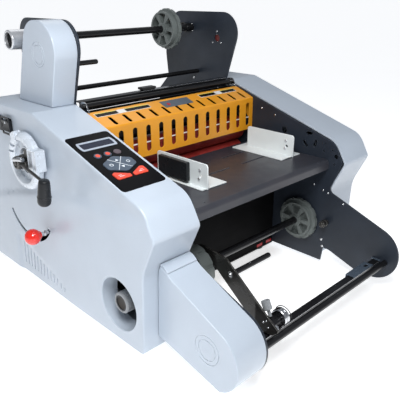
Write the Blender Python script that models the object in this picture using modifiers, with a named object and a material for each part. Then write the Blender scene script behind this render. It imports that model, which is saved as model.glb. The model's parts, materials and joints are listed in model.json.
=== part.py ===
"""Desktop hot roll laminator with film shafts, modelled as an assembly of separate parts.

Frame: metres, +Z up, origin under the middle of the machine on the surface it stands on.
+X is the operator's right, -Y is the infeed side, where the operator stands.
All driving dimensions below are in millimetres, measured from the machine's middle plane (X),
the centre line of the heated rollers (Y) and the floor (Z).
"""

import math

import bmesh
import bpy
from mathutils import Matrix, Vector

MM = 0.001

# Overall layout
ORIGIN_SHIFT = (23.5, 66.1, 0.0)
HALF_WIDTH = 300.0
PLATE_INNER = 203.5
PLATE_OUTER = 207.0
COVER_INNER = 207.5
COVER_WALL = 3.0
GAP = 0.3
BODY_REAR = 292.0
BODY_FRONT = -250.0
PLATE_BOTTOM = 12.0
COVER_BOTTOM = 28.0
COVER_TOP = 380.5
KNEE_Y = 36.0
SLOPE_END = (-262.0, 287.0)
PAN_THICKNESS = 2.4
PAN_FRONT = -113.0

# Tower and arm
TOWER_TOP = 530.0
TOWER_COVER_OUTER = 252.5
ARM_COVER_OUTER = 270.5
ARM_TIP = (-368.0, 76.0)
ARM_TIP_RADIUS = 56.0

# Rollers (y, z) and radii
NIP_HEIGHT = 248.5
HEAT_RADIUS = 28.0
PULL_RADIUS = 22.0
HEAT_Y = 0.0
PULL_Y = 160.0
ROLLER_END = 190.0
JOURNAL_RADIUS = 8.0
NIP_GAP = 0.5
LIFT = 10.5

# Film shafts, idlers and rods (y, z)
UPPER_SHAFT = (160.0, 491.5)
LOWER_SHAFT = (-188.0, 98.0)
SHAFT_RADIUS = 7.5
CHUCK_RADIUS = 39.0
CHUCK_FLANGE = 47.0
UPPER_CHUCK = (109.0, 130.0)
LOWER_CHUCK_RIGHT = (184.0, 201.5)
LOWER_CHUCK_LEFT = (-145.0, -118.5)
UPPER_IDLER = (139.0, 390.5)
FRONT_IDLER = (-398.0, 62.0)
SLITTER_RAIL = (-380.0, 59.0)
HINGE_ROD = (26.0, 378.0)
UPPER_STUB = (30.0, 455.0)
LOWER_STUB = (-277.0, 119.0)
LINK_FACE = -153.0
LINK_BEND = -360.0
LINK_LEAN = 0.31

# Feed table and guides
TABLE_TOP = 246.5
TABLE_THICKNESS = 2.0
TABLE_REAR = -33.0
SLOT_ROWS = (-138.0, -83.0)
SLOT_WIDTH = 5.0

# Safety guard
GUARD_FRONT = -40.0
GUARD_TOP_REAR = (12.0, 368.0)
GUARD_FRONT_TOP = 349.0
GUARD_BOTTOM = 278.0
GUARD_SHEET = 1.5
GUARD_HALF = 202.5
GUARD_SLOTS = 12
GUARD_SLOT_PITCH = 32.0
GUARD_SLOT_FIRST = -166.5

# Control panel on the cover's slope
PANEL_X = -254.5
PANEL_Y = -139.0
PANEL_SIZE = (84.0, 165.0)
PANEL_THICKNESS = 3.4
KEY_PROUD = 1.2
KEY_THICKNESS = 2.4

# Side controls
PRESSURE_AXIS = (67.0, 288.5)
TENSION_AXIS = (92.0, 212.0)
TENSION_RADIUS = 87.0
TENSION_REST = math.radians(53.0)
TENSION_SLOT = (math.radians(-58.0), math.radians(57.0))
RECESS_RADIUS = 50.0
SWITCH = (137.0, 341.5)
INLET = (184.0, 341.5)

# Gears
GEAR_TEETH = 24
PINION_TEETH = 12
GEAR_MODULE = (2 * HEAT_RADIUS + NIP_GAP) / GEAR_TEETH
GEAR_X = (-223.0, -213.0)

SIDE = Matrix(((0, 0, 1, 0), (1, 0, 0, 0), (0, 1, 0, 0), (0, 0, 0, 1)))
LEVEL = Matrix.Identity(4)
FRONT = Matrix(((1, 0, 0, 0), (0, 0, -1, 0), (0, 1, 0, 0), (0, 0, 0, 1)))


def clear_scene():
    """Remove every object that the file already holds."""
    for obj in list(bpy.data.objects):
        bpy.data.objects.remove(obj, do_unlink=True)


def new_collection(name):
    """Make a collection in the scene."""
    collection = bpy.data.collections.new(name)
    bpy.context.scene.collection.children.link(collection)
    return collection


clear_scene()
PARTS = new_collection("roll_laminator")
CUTTERS = new_collection("cutters")
MACHINE = bpy.data.objects.new("machine_origin", None)
MACHINE.location = Vector(ORIGIN_SHIFT) * MM
PARTS.objects.link(MACHINE)


# ---------------------------------------------------------------- materials

def material(name, colour, roughness, metallic=0.0):
    """Make a Principled BSDF material."""
    made = bpy.data.materials.new(name)
    made.use_nodes = True
    shader = made.node_tree.nodes["Principled BSDF"]
    shader.inputs["Base Color"].default_value = (*colour, 1.0)
    shader.inputs["Roughness"].default_value = roughness
    shader.inputs["Metallic"].default_value = metallic
    return made


COVER_PAINT = material("cover_paint", (0.55, 0.61, 0.69), 0.35)
PLATE_PAINT = material("plate_paint", (0.035, 0.043, 0.055), 0.5)
BLACK_PAINT = material("black_paint", (0.012, 0.012, 0.013), 0.4)
GUARD_PAINT = material("guard_paint", (0.85, 0.36, 0.02), 0.4)
CHUCK_PLASTIC = material("chuck_plastic", (0.18, 0.2, 0.19), 0.55)
SILICONE = material("silicone", (0.35, 0.03, 0.03), 0.6)
STEEL = material("steel", (0.6, 0.6, 0.6), 0.25, 1.0)
GUNMETAL = material("gunmetal", (0.06, 0.055, 0.05), 0.35, 0.8)
WHITE_METAL = material("white_metal", (0.7, 0.74, 0.78), 0.3, 0.3)
GUIDE_PAINT = material("guide_paint", (0.72, 0.74, 0.72), 0.45)
GRIP_PLASTIC = material("grip_plastic", (0.015, 0.015, 0.017), 0.3)
BALL_PLASTIC = material("ball_plastic", (0.75, 0.02, 0.01), 0.2)
PANEL_FILM = material("panel_film", (0.008, 0.008, 0.01), 0.25)
SCREEN = material("screen", (0.02, 0.03, 0.06), 0.1)
KEY_GREY = material("key_grey", (0.05, 0.065, 0.085), 0.4)
KEY_RED = material("key_red", (0.6, 0.06, 0.03), 0.4)
RUBBER = material("rubber", (0.02, 0.02, 0.02), 0.8)
ALUMINIUM = material("aluminium", (0.45, 0.45, 0.46), 0.35, 1.0)
GEAR_PLASTIC = material("gear_plastic", (0.7, 0.68, 0.6), 0.5)


# ------------------------------------------------------------------ outlines

def arc(centre, radius, start, end, steps):
    """Points on an arc, angles in degrees."""
    points = []
    for i in range(steps + 1):
        angle = math.radians(start + (end - start) * i / steps)
        points.append((centre[0] + radius * math.cos(angle), centre[1] + radius * math.sin(angle)))
    return points


def rounded(corners):
    """Turn (u, v, radius) corners into an outline whose corners are arcs."""
    points = []
    count = len(corners)
    for i, (u, v, radius) in enumerate(corners):
        corner = Vector((u, v))
        if radius <= 0:
            points.append((u, v))
            continue
        before = (Vector(corners[i - 1][:2]) - corner).normalized()
        after = (Vector(corners[(i + 1) % count][:2]) - corner).normalized()
        half = before.angle(after) / 2
        reach = radius / math.tan(half)
        centre = corner + (before + after).normalized() * radius / math.sin(half)
        start = corner + before * reach - centre
        end = corner + after * reach - centre
        first = math.atan2(start.y, start.x)
        sweep = (math.atan2(end.y, end.x) - first + math.pi) % (2 * math.pi) - math.pi
        steps = max(2, round(abs(math.degrees(sweep)) / 18))
        for k in range(steps + 1):
            angle = first + sweep * k / steps
            points.append((centre.x + radius * math.cos(angle), centre.y + radius * math.sin(angle)))
    return points


def circle(centre, radius, steps=20):
    """A full circle as an outline."""
    return arc(centre, radius, 0, 360 * (steps - 1) / steps, steps - 1)


def rectangle(centre, size, radius=0.0):
    """A rectangle, with rounded corners if a radius is given."""
    u, v = centre
    a, b = size[0] / 2, size[1] / 2
    corners = ((u - a, v - b), (u + a, v - b), (u + a, v + b), (u - a, v + b))
    return rounded([(*corner, radius) for corner in corners])


def slot(start, end, width, steps=5):
    """A straight slot with round ends."""
    direction = math.degrees(math.atan2(end[1] - start[1], end[0] - start[0]))
    points = arc(end, width / 2, direction - 90, direction + 90, steps)
    return points + arc(start, width / 2, direction + 90, direction + 270, steps)


def gear_outline(teeth, module, phase):
    """A spur gear with straight-sided teeth, one tooth centred at the phase angle."""
    pitch = teeth * module / 2
    root, tip = pitch - 1.25 * module, pitch + 0.85 * module
    step = 360 / teeth
    points = []
    for i in range(teeth):
        middle = phase + i * step
        for radius, offset in ((root, -0.33), (tip, -0.13), (tip, 0.13), (root, 0.33)):
            angle = math.radians(middle + offset * step)
            points.append((radius * math.cos(angle), radius * math.sin(angle)))
    return points


def moved(points, by):
    """Shift an outline."""
    return [(u + by[0], v + by[1]) for u, v in points]


# ------------------------------------------------------------------ builders

def place(obj, paint, origin=None):
    """Give an object its material, collection, parent and origin (millimetres)."""
    mesh = obj.data
    mesh.materials.clear()
    mesh.materials.append(paint)
    if origin is not None:
        mesh.transform(Matrix.Translation(Vector(origin) * -MM))
        obj.location = Vector(origin) * MM
    PARTS.objects.link(obj)
    obj.parent = MACHINE
    return obj


def as_cutter(obj):
    """Put an object among the cutters."""
    CUTTERS.objects.link(obj)
    obj.parent = MACHINE
    obj.hide_render = True
    obj.display_type = "WIRE"
    return obj


def extruded_mesh(name, loops, low, high, frame=SIDE):
    """Extrude a flat outline, with any holes, from low to high along the frame's third axis."""
    curve = bpy.data.curves.new(name + "_outline", "CURVE")
    curve.dimensions = "2D"
    curve.fill_mode = "BOTH"
    curve.extrude = (high - low) / 2 * MM
    for loop in loops:
        spline = curve.splines.new("POLY")
        spline.points.add(len(loop) - 1)
        for point, (u, v) in zip(spline.points, loop):
            point.co = (u * MM, v * MM, 0, 1)
        spline.use_cyclic_u = True
    source = bpy.data.objects.new(name + "_outline", curve)
    bpy.context.scene.collection.objects.link(source)
    graph = bpy.context.evaluated_depsgraph_get()
    mesh = bpy.data.meshes.new_from_object(source.evaluated_get(graph))
    mesh.name = name
    bpy.data.objects.remove(source, do_unlink=True)
    mesh.transform(frame @ Matrix.Translation((0, 0, (low + high) / 2 * MM)))
    bm = bmesh.new()
    bm.from_mesh(mesh)
    bmesh.ops.remove_doubles(bm, verts=bm.verts, dist=1e-6)
    bmesh.ops.recalc_face_normals(bm, faces=bm.faces)
    bm.to_mesh(mesh)
    bm.free()
    return mesh


def extruded(name, loops, low, high, paint, frame=SIDE, origin=None):
    """A part made by extruding an outline."""
    return place(bpy.data.objects.new(name, extruded_mesh(name, loops, low, high, frame)), paint, origin)


def cutter(name, loops, low, high, frame=SIDE):
    """A cutter made by extruding an outline."""
    return as_cutter(bpy.data.objects.new(name, extruded_mesh(name, loops, low, high, frame)))


def box_mesh(name, low, high):
    """A box between two corners."""
    bm = bmesh.new()
    bmesh.ops.create_cube(bm, size=1.0)
    size = [(b - a) * MM for a, b in zip(low, high)]
    middle = [(a + b) / 2 * MM for a, b in zip(low, high)]
    bmesh.ops.scale(bm, vec=size, verts=bm.verts)
    bmesh.ops.translate(bm, vec=middle, verts=bm.verts)
    mesh = bpy.data.meshes.new(name)
    bm.to_mesh(mesh)
    bm.free()
    return mesh


def box(name, low, high, paint):
    """A plain box part."""
    return place(bpy.data.objects.new(name, box_mesh(name, low, high)), paint)


def turned_object(name, profile, centre, axis, steps, closed=False):
    """A turned shape: (radius, distance) pairs from the far end back, swept round the axis."""
    mesh = bpy.data.meshes.new(name)
    verts = [(radius * MM, 0.0, along * MM) for radius, along in profile]
    edges = [(i, i + 1) for i in range(len(verts) - 1)]
    if closed:
        edges.append((len(verts) - 1, 0))
    mesh.from_pydata(verts, edges, [])
    obj = bpy.data.objects.new(name, mesh)
    obj.location = Vector(centre) * MM
    obj.rotation_mode = "QUATERNION"
    obj.rotation_quaternion = Vector(axis).to_track_quat("Z", "Y")
    screw = obj.modifiers.new("turn", "SCREW")
    screw.axis = "Z"
    screw.steps = steps
    screw.render_steps = steps
    screw.use_merge_vertices = True
    screw.merge_threshold = 1e-5
    screw.use_smooth_shade = False
    return obj


def turned(name, profile, centre, paint, axis=(1, 0, 0), steps=32, closed=False):
    """A turned part, with its origin on its axis."""
    obj = turned_object(name, profile, centre, axis, steps, closed)
    obj.data.materials.append(paint)
    PARTS.objects.link(obj)
    obj.parent = MACHINE
    return obj


def stepped(lengths):
    """A turned profile from (start, end, radius) steps that join end to end."""
    profile = [(0.0, lengths[-1][1])]
    for start, end, radius in reversed(lengths):
        profile += [(radius, end), (radius, start)]
    profile.append((0.0, lengths[0][0]))
    return profile


def shaft(name, lengths, axis_at, paint, steps=28):
    """A stepped round bar along X."""
    return turned(name, stepped(lengths), (0, *axis_at), paint, steps=steps)


def boolean(obj, operands, operation):
    """Cut or join with a list of operand objects."""
    for operand in operands:
        modifier = obj.modifiers.new(operation.lower(), "BOOLEAN")
        modifier.operation = operation
        modifier.solver = "EXACT"
        modifier.object = operand
    return obj


def cut(obj, *operands):
    """Remove the operands from a part."""
    return boolean(obj, operands, "DIFFERENCE")


def join(obj, *operands):
    """Add the operands to a part."""
    return boolean(obj, operands, "UNION")


def shell(name, outline, open_x, closed_x, paint):
    """A moulded cover: walls along the outline and a face at closed_x, open at open_x."""
    mesh = extruded_mesh(name, [outline], min(open_x, closed_x), max(open_x, closed_x))
    bm = bmesh.new()
    bm.from_mesh(mesh)
    opening = [f for f in bm.faces if all(abs(v.co.x - open_x * MM) < 1e-6 for v in f.verts)]
    bmesh.ops.delete(bm, geom=opening, context="FACES")
    bm.to_mesh(mesh)
    bm.free()
    obj = bpy.data.objects.new(name, mesh)
    wall = obj.modifiers.new("wall", "SOLIDIFY")
    wall.thickness = COVER_WALL * MM
    wall.offset = -1
    wall.use_even_offset = True
    return place(obj, paint)


# ---------------------------------------------------------------- frame parts

def side_plate_outline(left):
    """The steel side plate: body, tower above it and arm in front; the left tower is the narrower one."""
    tower_rear = [(249, 368, 12), (257, 435, 60)]
    if left:
        tower_rear = [(262, 368, 14), (213, 368, 12), (227, 470, 60)]
    body = [(288, PLATE_BOTTOM, 4), (288, 330, 8)] + tower_rear + [
        (222, 528, 34), (-7, 529, 45), (45, 379, 6), (KNEE_Y, 377, 0), (-261, 283, 30),
        (-281, 244, 6), (-256, 181, 12),
    ]
    points = rounded(body + [(-300, 148, 0)])
    points.pop()
    points += arc(ARM_TIP, ARM_TIP_RADIUS, 112, 262, 12)
    points += [(-331, 22), (-268, 44), (-252, 45), (-248, PLATE_BOTTOM)]
    return points


def plate_holes(left):
    """The bearing and shaft holes in a side plate."""
    clearance = JOURNAL_RADIUS + 1.0
    lower_heat = (HEAT_Y, NIP_HEIGHT - HEAT_RADIUS)
    upper_heat = (HEAT_Y, NIP_HEIGHT + HEAT_RADIUS + NIP_GAP)
    holes = [
        circle(lower_heat, clearance),
        slot(upper_heat, (upper_heat[0], upper_heat[1] + LIFT), 2 * clearance),
        circle((PULL_Y, NIP_HEIGHT - PULL_RADIUS), clearance),
        circle((PULL_Y, NIP_HEIGHT + PULL_RADIUS + NIP_GAP), clearance),
        circle(UPPER_IDLER, 4.0, 16),
        circle(FRONT_IDLER, 5.0, 16),
        circle(HINGE_ROD, 5.5, 16),
        circle(LOWER_SHAFT, SHAFT_RADIUS + 1.0),
        circle(UPPER_SHAFT, SHAFT_RADIUS + 1.0),
    ]
    if not left:
        holes.append(circle((75, 471), 5, 12))
        holes.append(circle((-131, 288), 6, 12))
        holes.append(circle((-236, 250), 4, 12))
    return holes


def side_plates():
    """The two steel side plates."""
    for side, low in (("left", -PLATE_OUTER), ("right", PLATE_INNER)):
        is_left = side == "left"
        loops = [side_plate_outline(is_left)] + plate_holes(is_left)
        extruded(f"side_plate_{side}", loops, low, low + PLATE_OUTER - PLATE_INNER, PLATE_PAINT)


def base_and_feet():
    """The base pan under both side plates, and its four rubber feet."""
    pan_top = PLATE_BOTTOM - GAP
    pan_bottom = pan_top - PAN_THICKNESS
    box("base_pan", (-PLATE_OUTER, PAN_FRONT, pan_bottom), (PLATE_OUTER, 287, pan_top), BLACK_PAINT)
    for y, end in ((-90, "front"), (245, "rear")):
        for x, side in ((-172, "left"), (172, "right")):
            profile = [(0, pan_bottom - GAP), (12, pan_bottom - GAP), (16, 1.5), (14.5, 0), (0, 0)]
            turned(f"foot_{end}_{side}", profile, (x, y, 0), RUBBER, axis=(0, 0, 1), steps=24)


def cross_panels():
    """The rear panel and the black apron under the feed table."""
    inside = PLATE_INNER - GAP
    rear = [(281, 13), (283, 13), (283, 205), (262, 232), (260.5, 230.8), (281, 204.4)]
    extruded("rear_panel", [rear], -inside, inside, PLATE_PAINT)
    apron = [(-112, 13), (-110.5, 13), (-110.5, 226), (-52, 236), (-52.3, 237.5), (-112, 227.5)]
    extruded("front_apron", [apron], -inside, inside, BLACK_PAINT)


# --------------------------------------------------------------------- covers

def cover_outline():
    """The side cover's outline, the same on both sides."""
    return rounded([
        (284, COVER_BOTTOM, 12), (BODY_REAR, 318, 22), (252, 371, 40), (222, COVER_TOP, 30),
        (KNEE_Y, COVER_TOP, 14), (*SLOPE_END, 45), (-287, 243, 11), (-256, 178, 70),
        (BODY_FRONT, COVER_BOTTOM, 10),
    ])


def slope_frame(x, y):
    """A frame on the cover's front slope: u along X, v up the slope, w out of it."""
    rise = (COVER_TOP - SLOPE_END[1]) / (KNEE_Y - SLOPE_END[0])
    angle = math.atan(rise)
    z = COVER_TOP + (y - KNEE_Y) * rise
    turn = Matrix(((1, 0, 0), (0, math.cos(angle), -math.sin(angle)), (0, math.sin(angle), math.cos(angle))))
    return Matrix.Translation(Vector((x, y, z)) * MM) @ turn.to_4x4()


def tension_slot_outline():
    """The arc slot that the tension lever's stem travels in."""
    first, last = (math.degrees(a) for a in TENSION_SLOT)
    outer = arc(TENSION_AXIS, TENSION_RADIUS + 5, -90 - last, -90 - first, 16)
    inner = arc(TENSION_AXIS, TENSION_RADIUS - 5, -90 - first, -90 - last, 16)
    return outer + inner


def side_covers():
    """The two moulded side covers; the left one carries the controls."""
    left = shell("side_cover_left", cover_outline(), -COVER_INNER, -HALF_WIDTH, COVER_PAINT)
    shell("side_cover_right", cover_outline(), COVER_INNER, HALF_WIDTH, COVER_PAINT)
    low, high = -HALF_WIDTH - 10, -HALF_WIDTH + 12
    width, length = (size + 2 * GAP for size in PANEL_SIZE)
    cut(
        left,
        cutter("recess_cut", [circle(LOWER_SHAFT, RECESS_RADIUS, 40)], low, high),
        cutter("hub_cut", [circle(PRESSURE_AXIS, 30, 32)], low, high),
        cutter("tension_cut", [tension_slot_outline()], low, high),
        cutter("switch_cut", [rectangle(SWITCH, (27.0, 29.0), 2)], low, high),
        cutter("inlet_cut", [rectangle(INLET, (48.6, 28.6), 3)], low, high),
        cutter("panel_cut", [rectangle((0, 0), (width, length), 6.3)], -8, 8, slope_frame(PANEL_X, PANEL_Y)),
    )
    join(left, dished_recess())


def dished_recess():
    """The dish round the lower shaft's knob, moulded into the left cover behind its round opening."""
    profile = [(49.0, 297.8), (51.5, 297.8), (51.5, 294.0), (36.0, 260.5), (33.5, 262.0)]
    return as_cutter(turned_object("shaft_dish", profile, (0, *LOWER_SHAFT), (-1, 0, 0), 40, closed=True))


def tower_cover():
    """The light shell outside the left tower."""
    foot, top = COVER_TOP + GAP, TOWER_TOP - 1
    outline = rounded([(169, foot, 2), (113, top, 45), (7, top, 50), (50, foot, 2)])
    shell("tower_cover", outline, -COVER_INNER, -TOWER_COVER_OUTER, COVER_PAINT)


def arm_cover():
    """The light shell outside the left arm."""
    outline = [(-262.4, 186), (-270, 184), (-288, 172)]
    outline += arc((-369, 76), ARM_TIP_RADIUS - 1, 112, 250, 14)
    outline += [(-252, 55), (-255.8, 150), (-256.8, 165), (-258.8, 178)]
    shell("arm_cover", outline, -COVER_INNER, -ARM_COVER_OUTER, COVER_PAINT)


# ------------------------------------------------------------ feed table, guides

def feed_table():
    """The feed table, with a rounded front lip and the slots that the guides slide in."""
    inside = PLATE_INNER - GAP
    bottom = TABLE_TOP - TABLE_THICKNESS
    section = rounded([
        (TABLE_REAR, TABLE_TOP, 0), (-250, TABLE_TOP, 9), (-250, TABLE_TOP - 20, 0),
        (-248, TABLE_TOP - 20, 0), (-248, bottom, 7), (TABLE_REAR, bottom, 0),
    ])
    table = extruded("feed_table", [section], -inside, inside, PLATE_PAINT)
    slots = []
    for row in SLOT_ROWS:
        for start, end in ((-186, 18), (58, 190)):
            name = f"table_slot_{round(-row)}_{round(start + 200)}"
            opening = slot((start, row), (end, row), SLOT_WIDTH)
            slots.append(cutter(name, [opening], bottom - 5, TABLE_TOP + 5, LEVEL))
    cut(table, *slots)


def paper_guide(name, fence, base, lug_x):
    """An L-shaped paper guide: a base plate, an upright fence and two lugs in the table's slots."""
    base_low, base_high = TABLE_TOP + GAP, TABLE_TOP + GAP + 2.0
    guide = box(name, (base[0], base[1], base_low), (base[2], base[3], base_high), GUIDE_PAINT)
    low = base_high - 0.5
    upright = rounded([(fence[1], low, 0), (fence[2], low, 0), (fence[2], 293, 5), (fence[1], 293, 5)])
    pieces = [cutter(name + "_fence", [upright], fence[0], fence[0] + 3)]
    for row in SLOT_ROWS:
        lug = box_mesh("lug", (lug_x - 6, row - 2, TABLE_TOP - 5), (lug_x + 6, row + 2, base_low + 0.5))
        pieces.append(as_cutter(bpy.data.objects.new(f"{name}_lug_{round(-row)}", lug)))
    return join(guide, *pieces)


def paper_guides():
    """The two guides on the table, and the magnet pad that holds the left one."""
    paper_guide("paper_guide_left", (-101, -196, -61), (-112, -194, -48, -52), -80)
    paper_guide("paper_guide_right", (163, -186, -61), (128, -184, 193, -46), 160)
    pad = rounded([(-152, 253, 2), (-74, 253, 2), (-74, 289, 2), (-152, 289, 2)])
    extruded("guide_magnet", [pad], -110, -101 - GAP, GRIP_PLASTIC)


# ---------------------------------------------------------------- safety guard

def guard_profiles():
    """The guard's front wall, sloping top and end cheek in the Y-Z plane."""
    rear_y, rear_z = GUARD_TOP_REAR
    sheet = GUARD_SHEET
    front = [(GUARD_FRONT, GUARD_BOTTOM), (GUARD_FRONT + sheet, GUARD_BOTTOM),
             (GUARD_FRONT + sheet, GUARD_FRONT_TOP - 0.6), (rear_y, rear_z - sheet),
             (rear_y, rear_z), (GUARD_FRONT, GUARD_FRONT_TOP)]
    cheek = [(GUARD_FRONT + 0.5, 300), (GUARD_FRONT + 8, 300), (28, 366), (36, 374), (36, 386),
             (18, 386), (rear_y - 1, rear_z - 0.6), (GUARD_FRONT + 0.5, GUARD_FRONT_TOP - 0.6)]
    return front, cheek


def safety_guard():
    """The slotted finger guard over the nip, hinged on the rod behind its top edge."""
    front, cheek = guard_profiles()
    origin = (0, *HINGE_ROD)
    guard = extruded("safety_guard", [front], -GUARD_HALF, GUARD_HALF, GUARD_PAINT, origin=origin)
    cheeks = []
    for side, low in (("left", -GUARD_HALF), ("right", GUARD_HALF - 2)):
        hole = circle(HINGE_ROD, 5.3, 16)
        cheeks.append(cutter(f"guard_cheek_{side}", [cheek, hole], low, low + 2))
    join(guard, *cheeks)
    slots = []
    for i in range(GUARD_SLOTS):
        x = GUARD_SLOT_FIRST + i * GUARD_SLOT_PITCH
        upright = slot((x, 292), (x, 334), 9.0, 4)
        slots.append(cutter(f"guard_slot_{i}", [upright], -GUARD_FRONT - 6, -GUARD_FRONT + 6, FRONT))
        flat = slot((x - 4, -33), (x - 4, -11), 6.0, 3)
        slots.append(cutter(f"guard_vent_{i}", [flat], 340, 380, LEVEL))
    cut(guard, *slots)


# --------------------------------------------------------------------- rollers

def roller(name, radius, at, paint, ends):
    """A roller with a journal at each end; ends are the journals' outer X."""
    left, right = ends
    lengths = [
        (left, -ROLLER_END, JOURNAL_RADIUS),
        (-ROLLER_END, ROLLER_END, radius),
        (ROLLER_END, right, JOURNAL_RADIUS),
    ]
    return shaft(name, lengths, at, paint)


def rollers():
    """The heated pair that the paper enters, and the pull pair behind it."""
    plain_end = PLATE_OUTER - 1
    for pair, y, radius, paint, left_end in (
        ("heat", HEAT_Y, HEAT_RADIUS, SILICONE, GEAR_X[0] - 3),
        ("pull", PULL_Y, PULL_RADIUS, RUBBER, -plain_end),
    ):
        ends = (left_end, plain_end)
        roller(pair + "_roller_lower", radius, (y, NIP_HEIGHT - radius), paint, ends)
        roller(pair + "_roller_upper", radius, (y, NIP_HEIGHT + radius + NIP_GAP), paint, ends)


def roller_yoke():
    """The yoke that carries the upper heated roller and lifts it off the lower one."""
    y, z = HEAT_Y, NIP_HEIGHT + HEAT_RADIUS + NIP_GAP
    bore = JOURNAL_RADIUS + 0.5
    ear = rounded([(y - 11, z - 13, 4), (y + 11, z - 13, 4), (y + 11, 333, 3), (y - 11, 333, 3)])
    yoke = extruded("roller_yoke", [ear, circle((y, z), bore)], -200.0, -192.0, ALUMINIUM)
    other = cutter("yoke_ear_right", [ear, circle((y, z), bore)], 192.0, 200.0)
    beam = box_mesh("yoke_beam", (-194, y - 10.5, 318), (194, y + 10.5, 330))
    join(yoke, other, as_cutter(bpy.data.objects.new("yoke_beam", beam)))


def drive_train():
    """The motor, its pinion and the gears on the heated rollers, inside the left cover."""
    half_step = 180 / GEAR_TEETH
    lower = (HEAT_Y, NIP_HEIGHT - HEAT_RADIUS)
    upper = (HEAT_Y, NIP_HEIGHT + HEAT_RADIUS + NIP_GAP)
    reach = (GEAR_TEETH + PINION_TEETH) * GEAR_MODULE / 2 * math.cos(math.radians(45))
    motor = (lower[0] + reach, lower[1] - reach)
    for name, at, teeth, phase, bore in (
        ("drive_gear_lower", lower, GEAR_TEETH, half_step, JOURNAL_RADIUS + 0.4),
        ("drive_gear_upper", upper, GEAR_TEETH, 0, JOURNAL_RADIUS + 0.4),
        ("motor_pinion", motor, PINION_TEETH, 135, 4.4),
    ):
        loops = [moved(gear_outline(teeth, GEAR_MODULE, phase), at), circle(at, bore)]
        extruded(name, loops, *GEAR_X, GEAR_PLASTIC if teeth == GEAR_TEETH else STEEL, origin=(0, *at))
    lengths = [(-286, -250, 27), (-250, -228, 31), (-228, GEAR_X[0] + 6, 4.0)]
    shaft("drive_motor", lengths, motor, STEEL, steps=28)


# ------------------------------------------------------------- film shafts, rods

def chuck(name, reach, at, radius, flange_radius=0.0):
    """A spoked core chuck on a film shaft; a flange, if it has one, is at its right-hand end."""
    low, high = reach
    loops = [circle(at, radius, 36), circle(at, SHAFT_RADIUS + 0.4)]
    for i in range(6):
        first = 60 * i + 10
        window = arc(at, radius - 6, first, first + 40, 3) + arc(at, 16, first + 36, first + 4, 1)
        loops.append(window)
    body = extruded(name, loops, low, high, CHUCK_PLASTIC, origin=(0, *at))
    if flange_radius > radius:
        flange = [circle(at, flange_radius, 36), circle(at, radius - 3, 36)]
        join(body, cutter(name + "_flange", flange, high - 9, high - 0.5))


def shaft_knob(name, inner, outer, radius, at, paint):
    """A round knob on the end of a film shaft; inner and outer are its X limits."""
    socket = SHAFT_RADIUS + 0.1
    profile = [
        (0, -outer), (radius - 1.5, -outer), (radius, -outer - 1.5), (radius, -inner),
        (socket, -inner), (socket, -outer - 6), (0, -outer - 6),
    ]
    turned(name, profile, (0, *at), paint, axis=(-1, 0, 0), steps=32)


def film_shafts():
    """The upper and lower film shafts with their knobs and core chucks."""
    lengths = [(-256.0, PLATE_INNER - 22, SHAFT_RADIUS), (PLATE_INNER - 22, PLATE_INNER - 6, 10.0),
               (PLATE_INNER - 6, PLATE_OUTER, SHAFT_RADIUS)]
    shaft("upper_film_shaft", lengths, UPPER_SHAFT, BLACK_PAINT, steps=20)
    shaft_knob("upper_shaft_knob", -212, -264, 18, UPPER_SHAFT, STEEL)
    chuck("upper_chuck", UPPER_CHUCK, UPPER_SHAFT, CHUCK_RADIUS, CHUCK_FLANGE - 2)
    shaft("lower_film_shaft", [(-284.0, PLATE_OUTER, SHAFT_RADIUS)], LOWER_SHAFT, BLACK_PAINT, steps=20)
    shaft_knob("lower_shaft_knob", -232, -293, 15.5, LOWER_SHAFT, ALUMINIUM)
    chuck("lower_chuck_right", LOWER_CHUCK_RIGHT, LOWER_SHAFT, CHUCK_RADIUS, CHUCK_FLANGE)
    chuck("lower_chuck_left", LOWER_CHUCK_LEFT, LOWER_SHAFT, CHUCK_FLANGE - 2)


def idlers_and_rods():
    """The film idlers, the guard's hinge rod, the slitter's rail and the upper stub rod."""
    inside = PLATE_INNER - GAP
    end = PLATE_OUTER - 1
    for name, at, radius, journal in (
        ("upper_idler", UPPER_IDLER, 5.0, 3.6),
        ("front_idler", FRONT_IDLER, 6.0, 4.6),
        ("guard_hinge_rod", HINGE_ROD, 5.0, 5.0),
    ):
        if radius == journal:
            shaft(name, [(-end, end, radius)], at, BLACK_PAINT, steps=20)
            continue
        lengths = [(-end, -inside, journal), (-inside, inside, radius), (inside, end, journal)]
        shaft(name, lengths, at, BLACK_PAINT, steps=20)
    rail_y, rail_z = SLITTER_RAIL
    box("slitter_rail", (-inside, rail_y - 7, rail_z - 5), (inside, rail_y + 7, rail_z + 5), BLACK_PAINT)
    shaft("upper_stub_rod", [(-inside, -162, 4.5), (-162, -159.5, 3.2)], UPPER_STUB, BLACK_PAINT, steps=16)


def link_plate():
    """The plate that rises from the rail to the lower film shaft, bent inward, and its stub rod."""
    outline = rounded([
        (-162, 126, 2), (-180, 134, 6), (-268, 147, 8), (LINK_BEND, 116, 0), (-407, 80, 4),
        (-394, 69, 3), (-371, 67, 1), (-370, 63, 1), (LINK_BEND, 72, 0), (-235, 111, 14),
    ])
    mesh = extruded_mesh("link_plate", [outline], LINK_FACE - 3, LINK_FACE)
    bm = bmesh.new()
    bm.from_mesh(mesh)
    everything = bm.verts[:] + bm.edges[:] + bm.faces[:]
    bmesh.ops.bisect_plane(bm, geom=everything, plane_co=(0, LINK_BEND * MM, 0), plane_no=(0, 1, 0))
    for vert in bm.verts:
        vert.co.x += LINK_LEAN * max(0.0, vert.co.y - LINK_BEND * MM)
    bm.to_mesh(mesh)
    bm.free()
    place(bpy.data.objects.new("link_plate", mesh), GUNMETAL)
    start = LINK_FACE + LINK_LEAN * (LOWER_STUB[0] + 5 - LINK_BEND) + GAP
    shaft("lower_stub_rod", [(start, -22, 5.0), (-22, -19.5, 3.6)], LOWER_STUB, BLACK_PAINT, steps=16)


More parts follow.
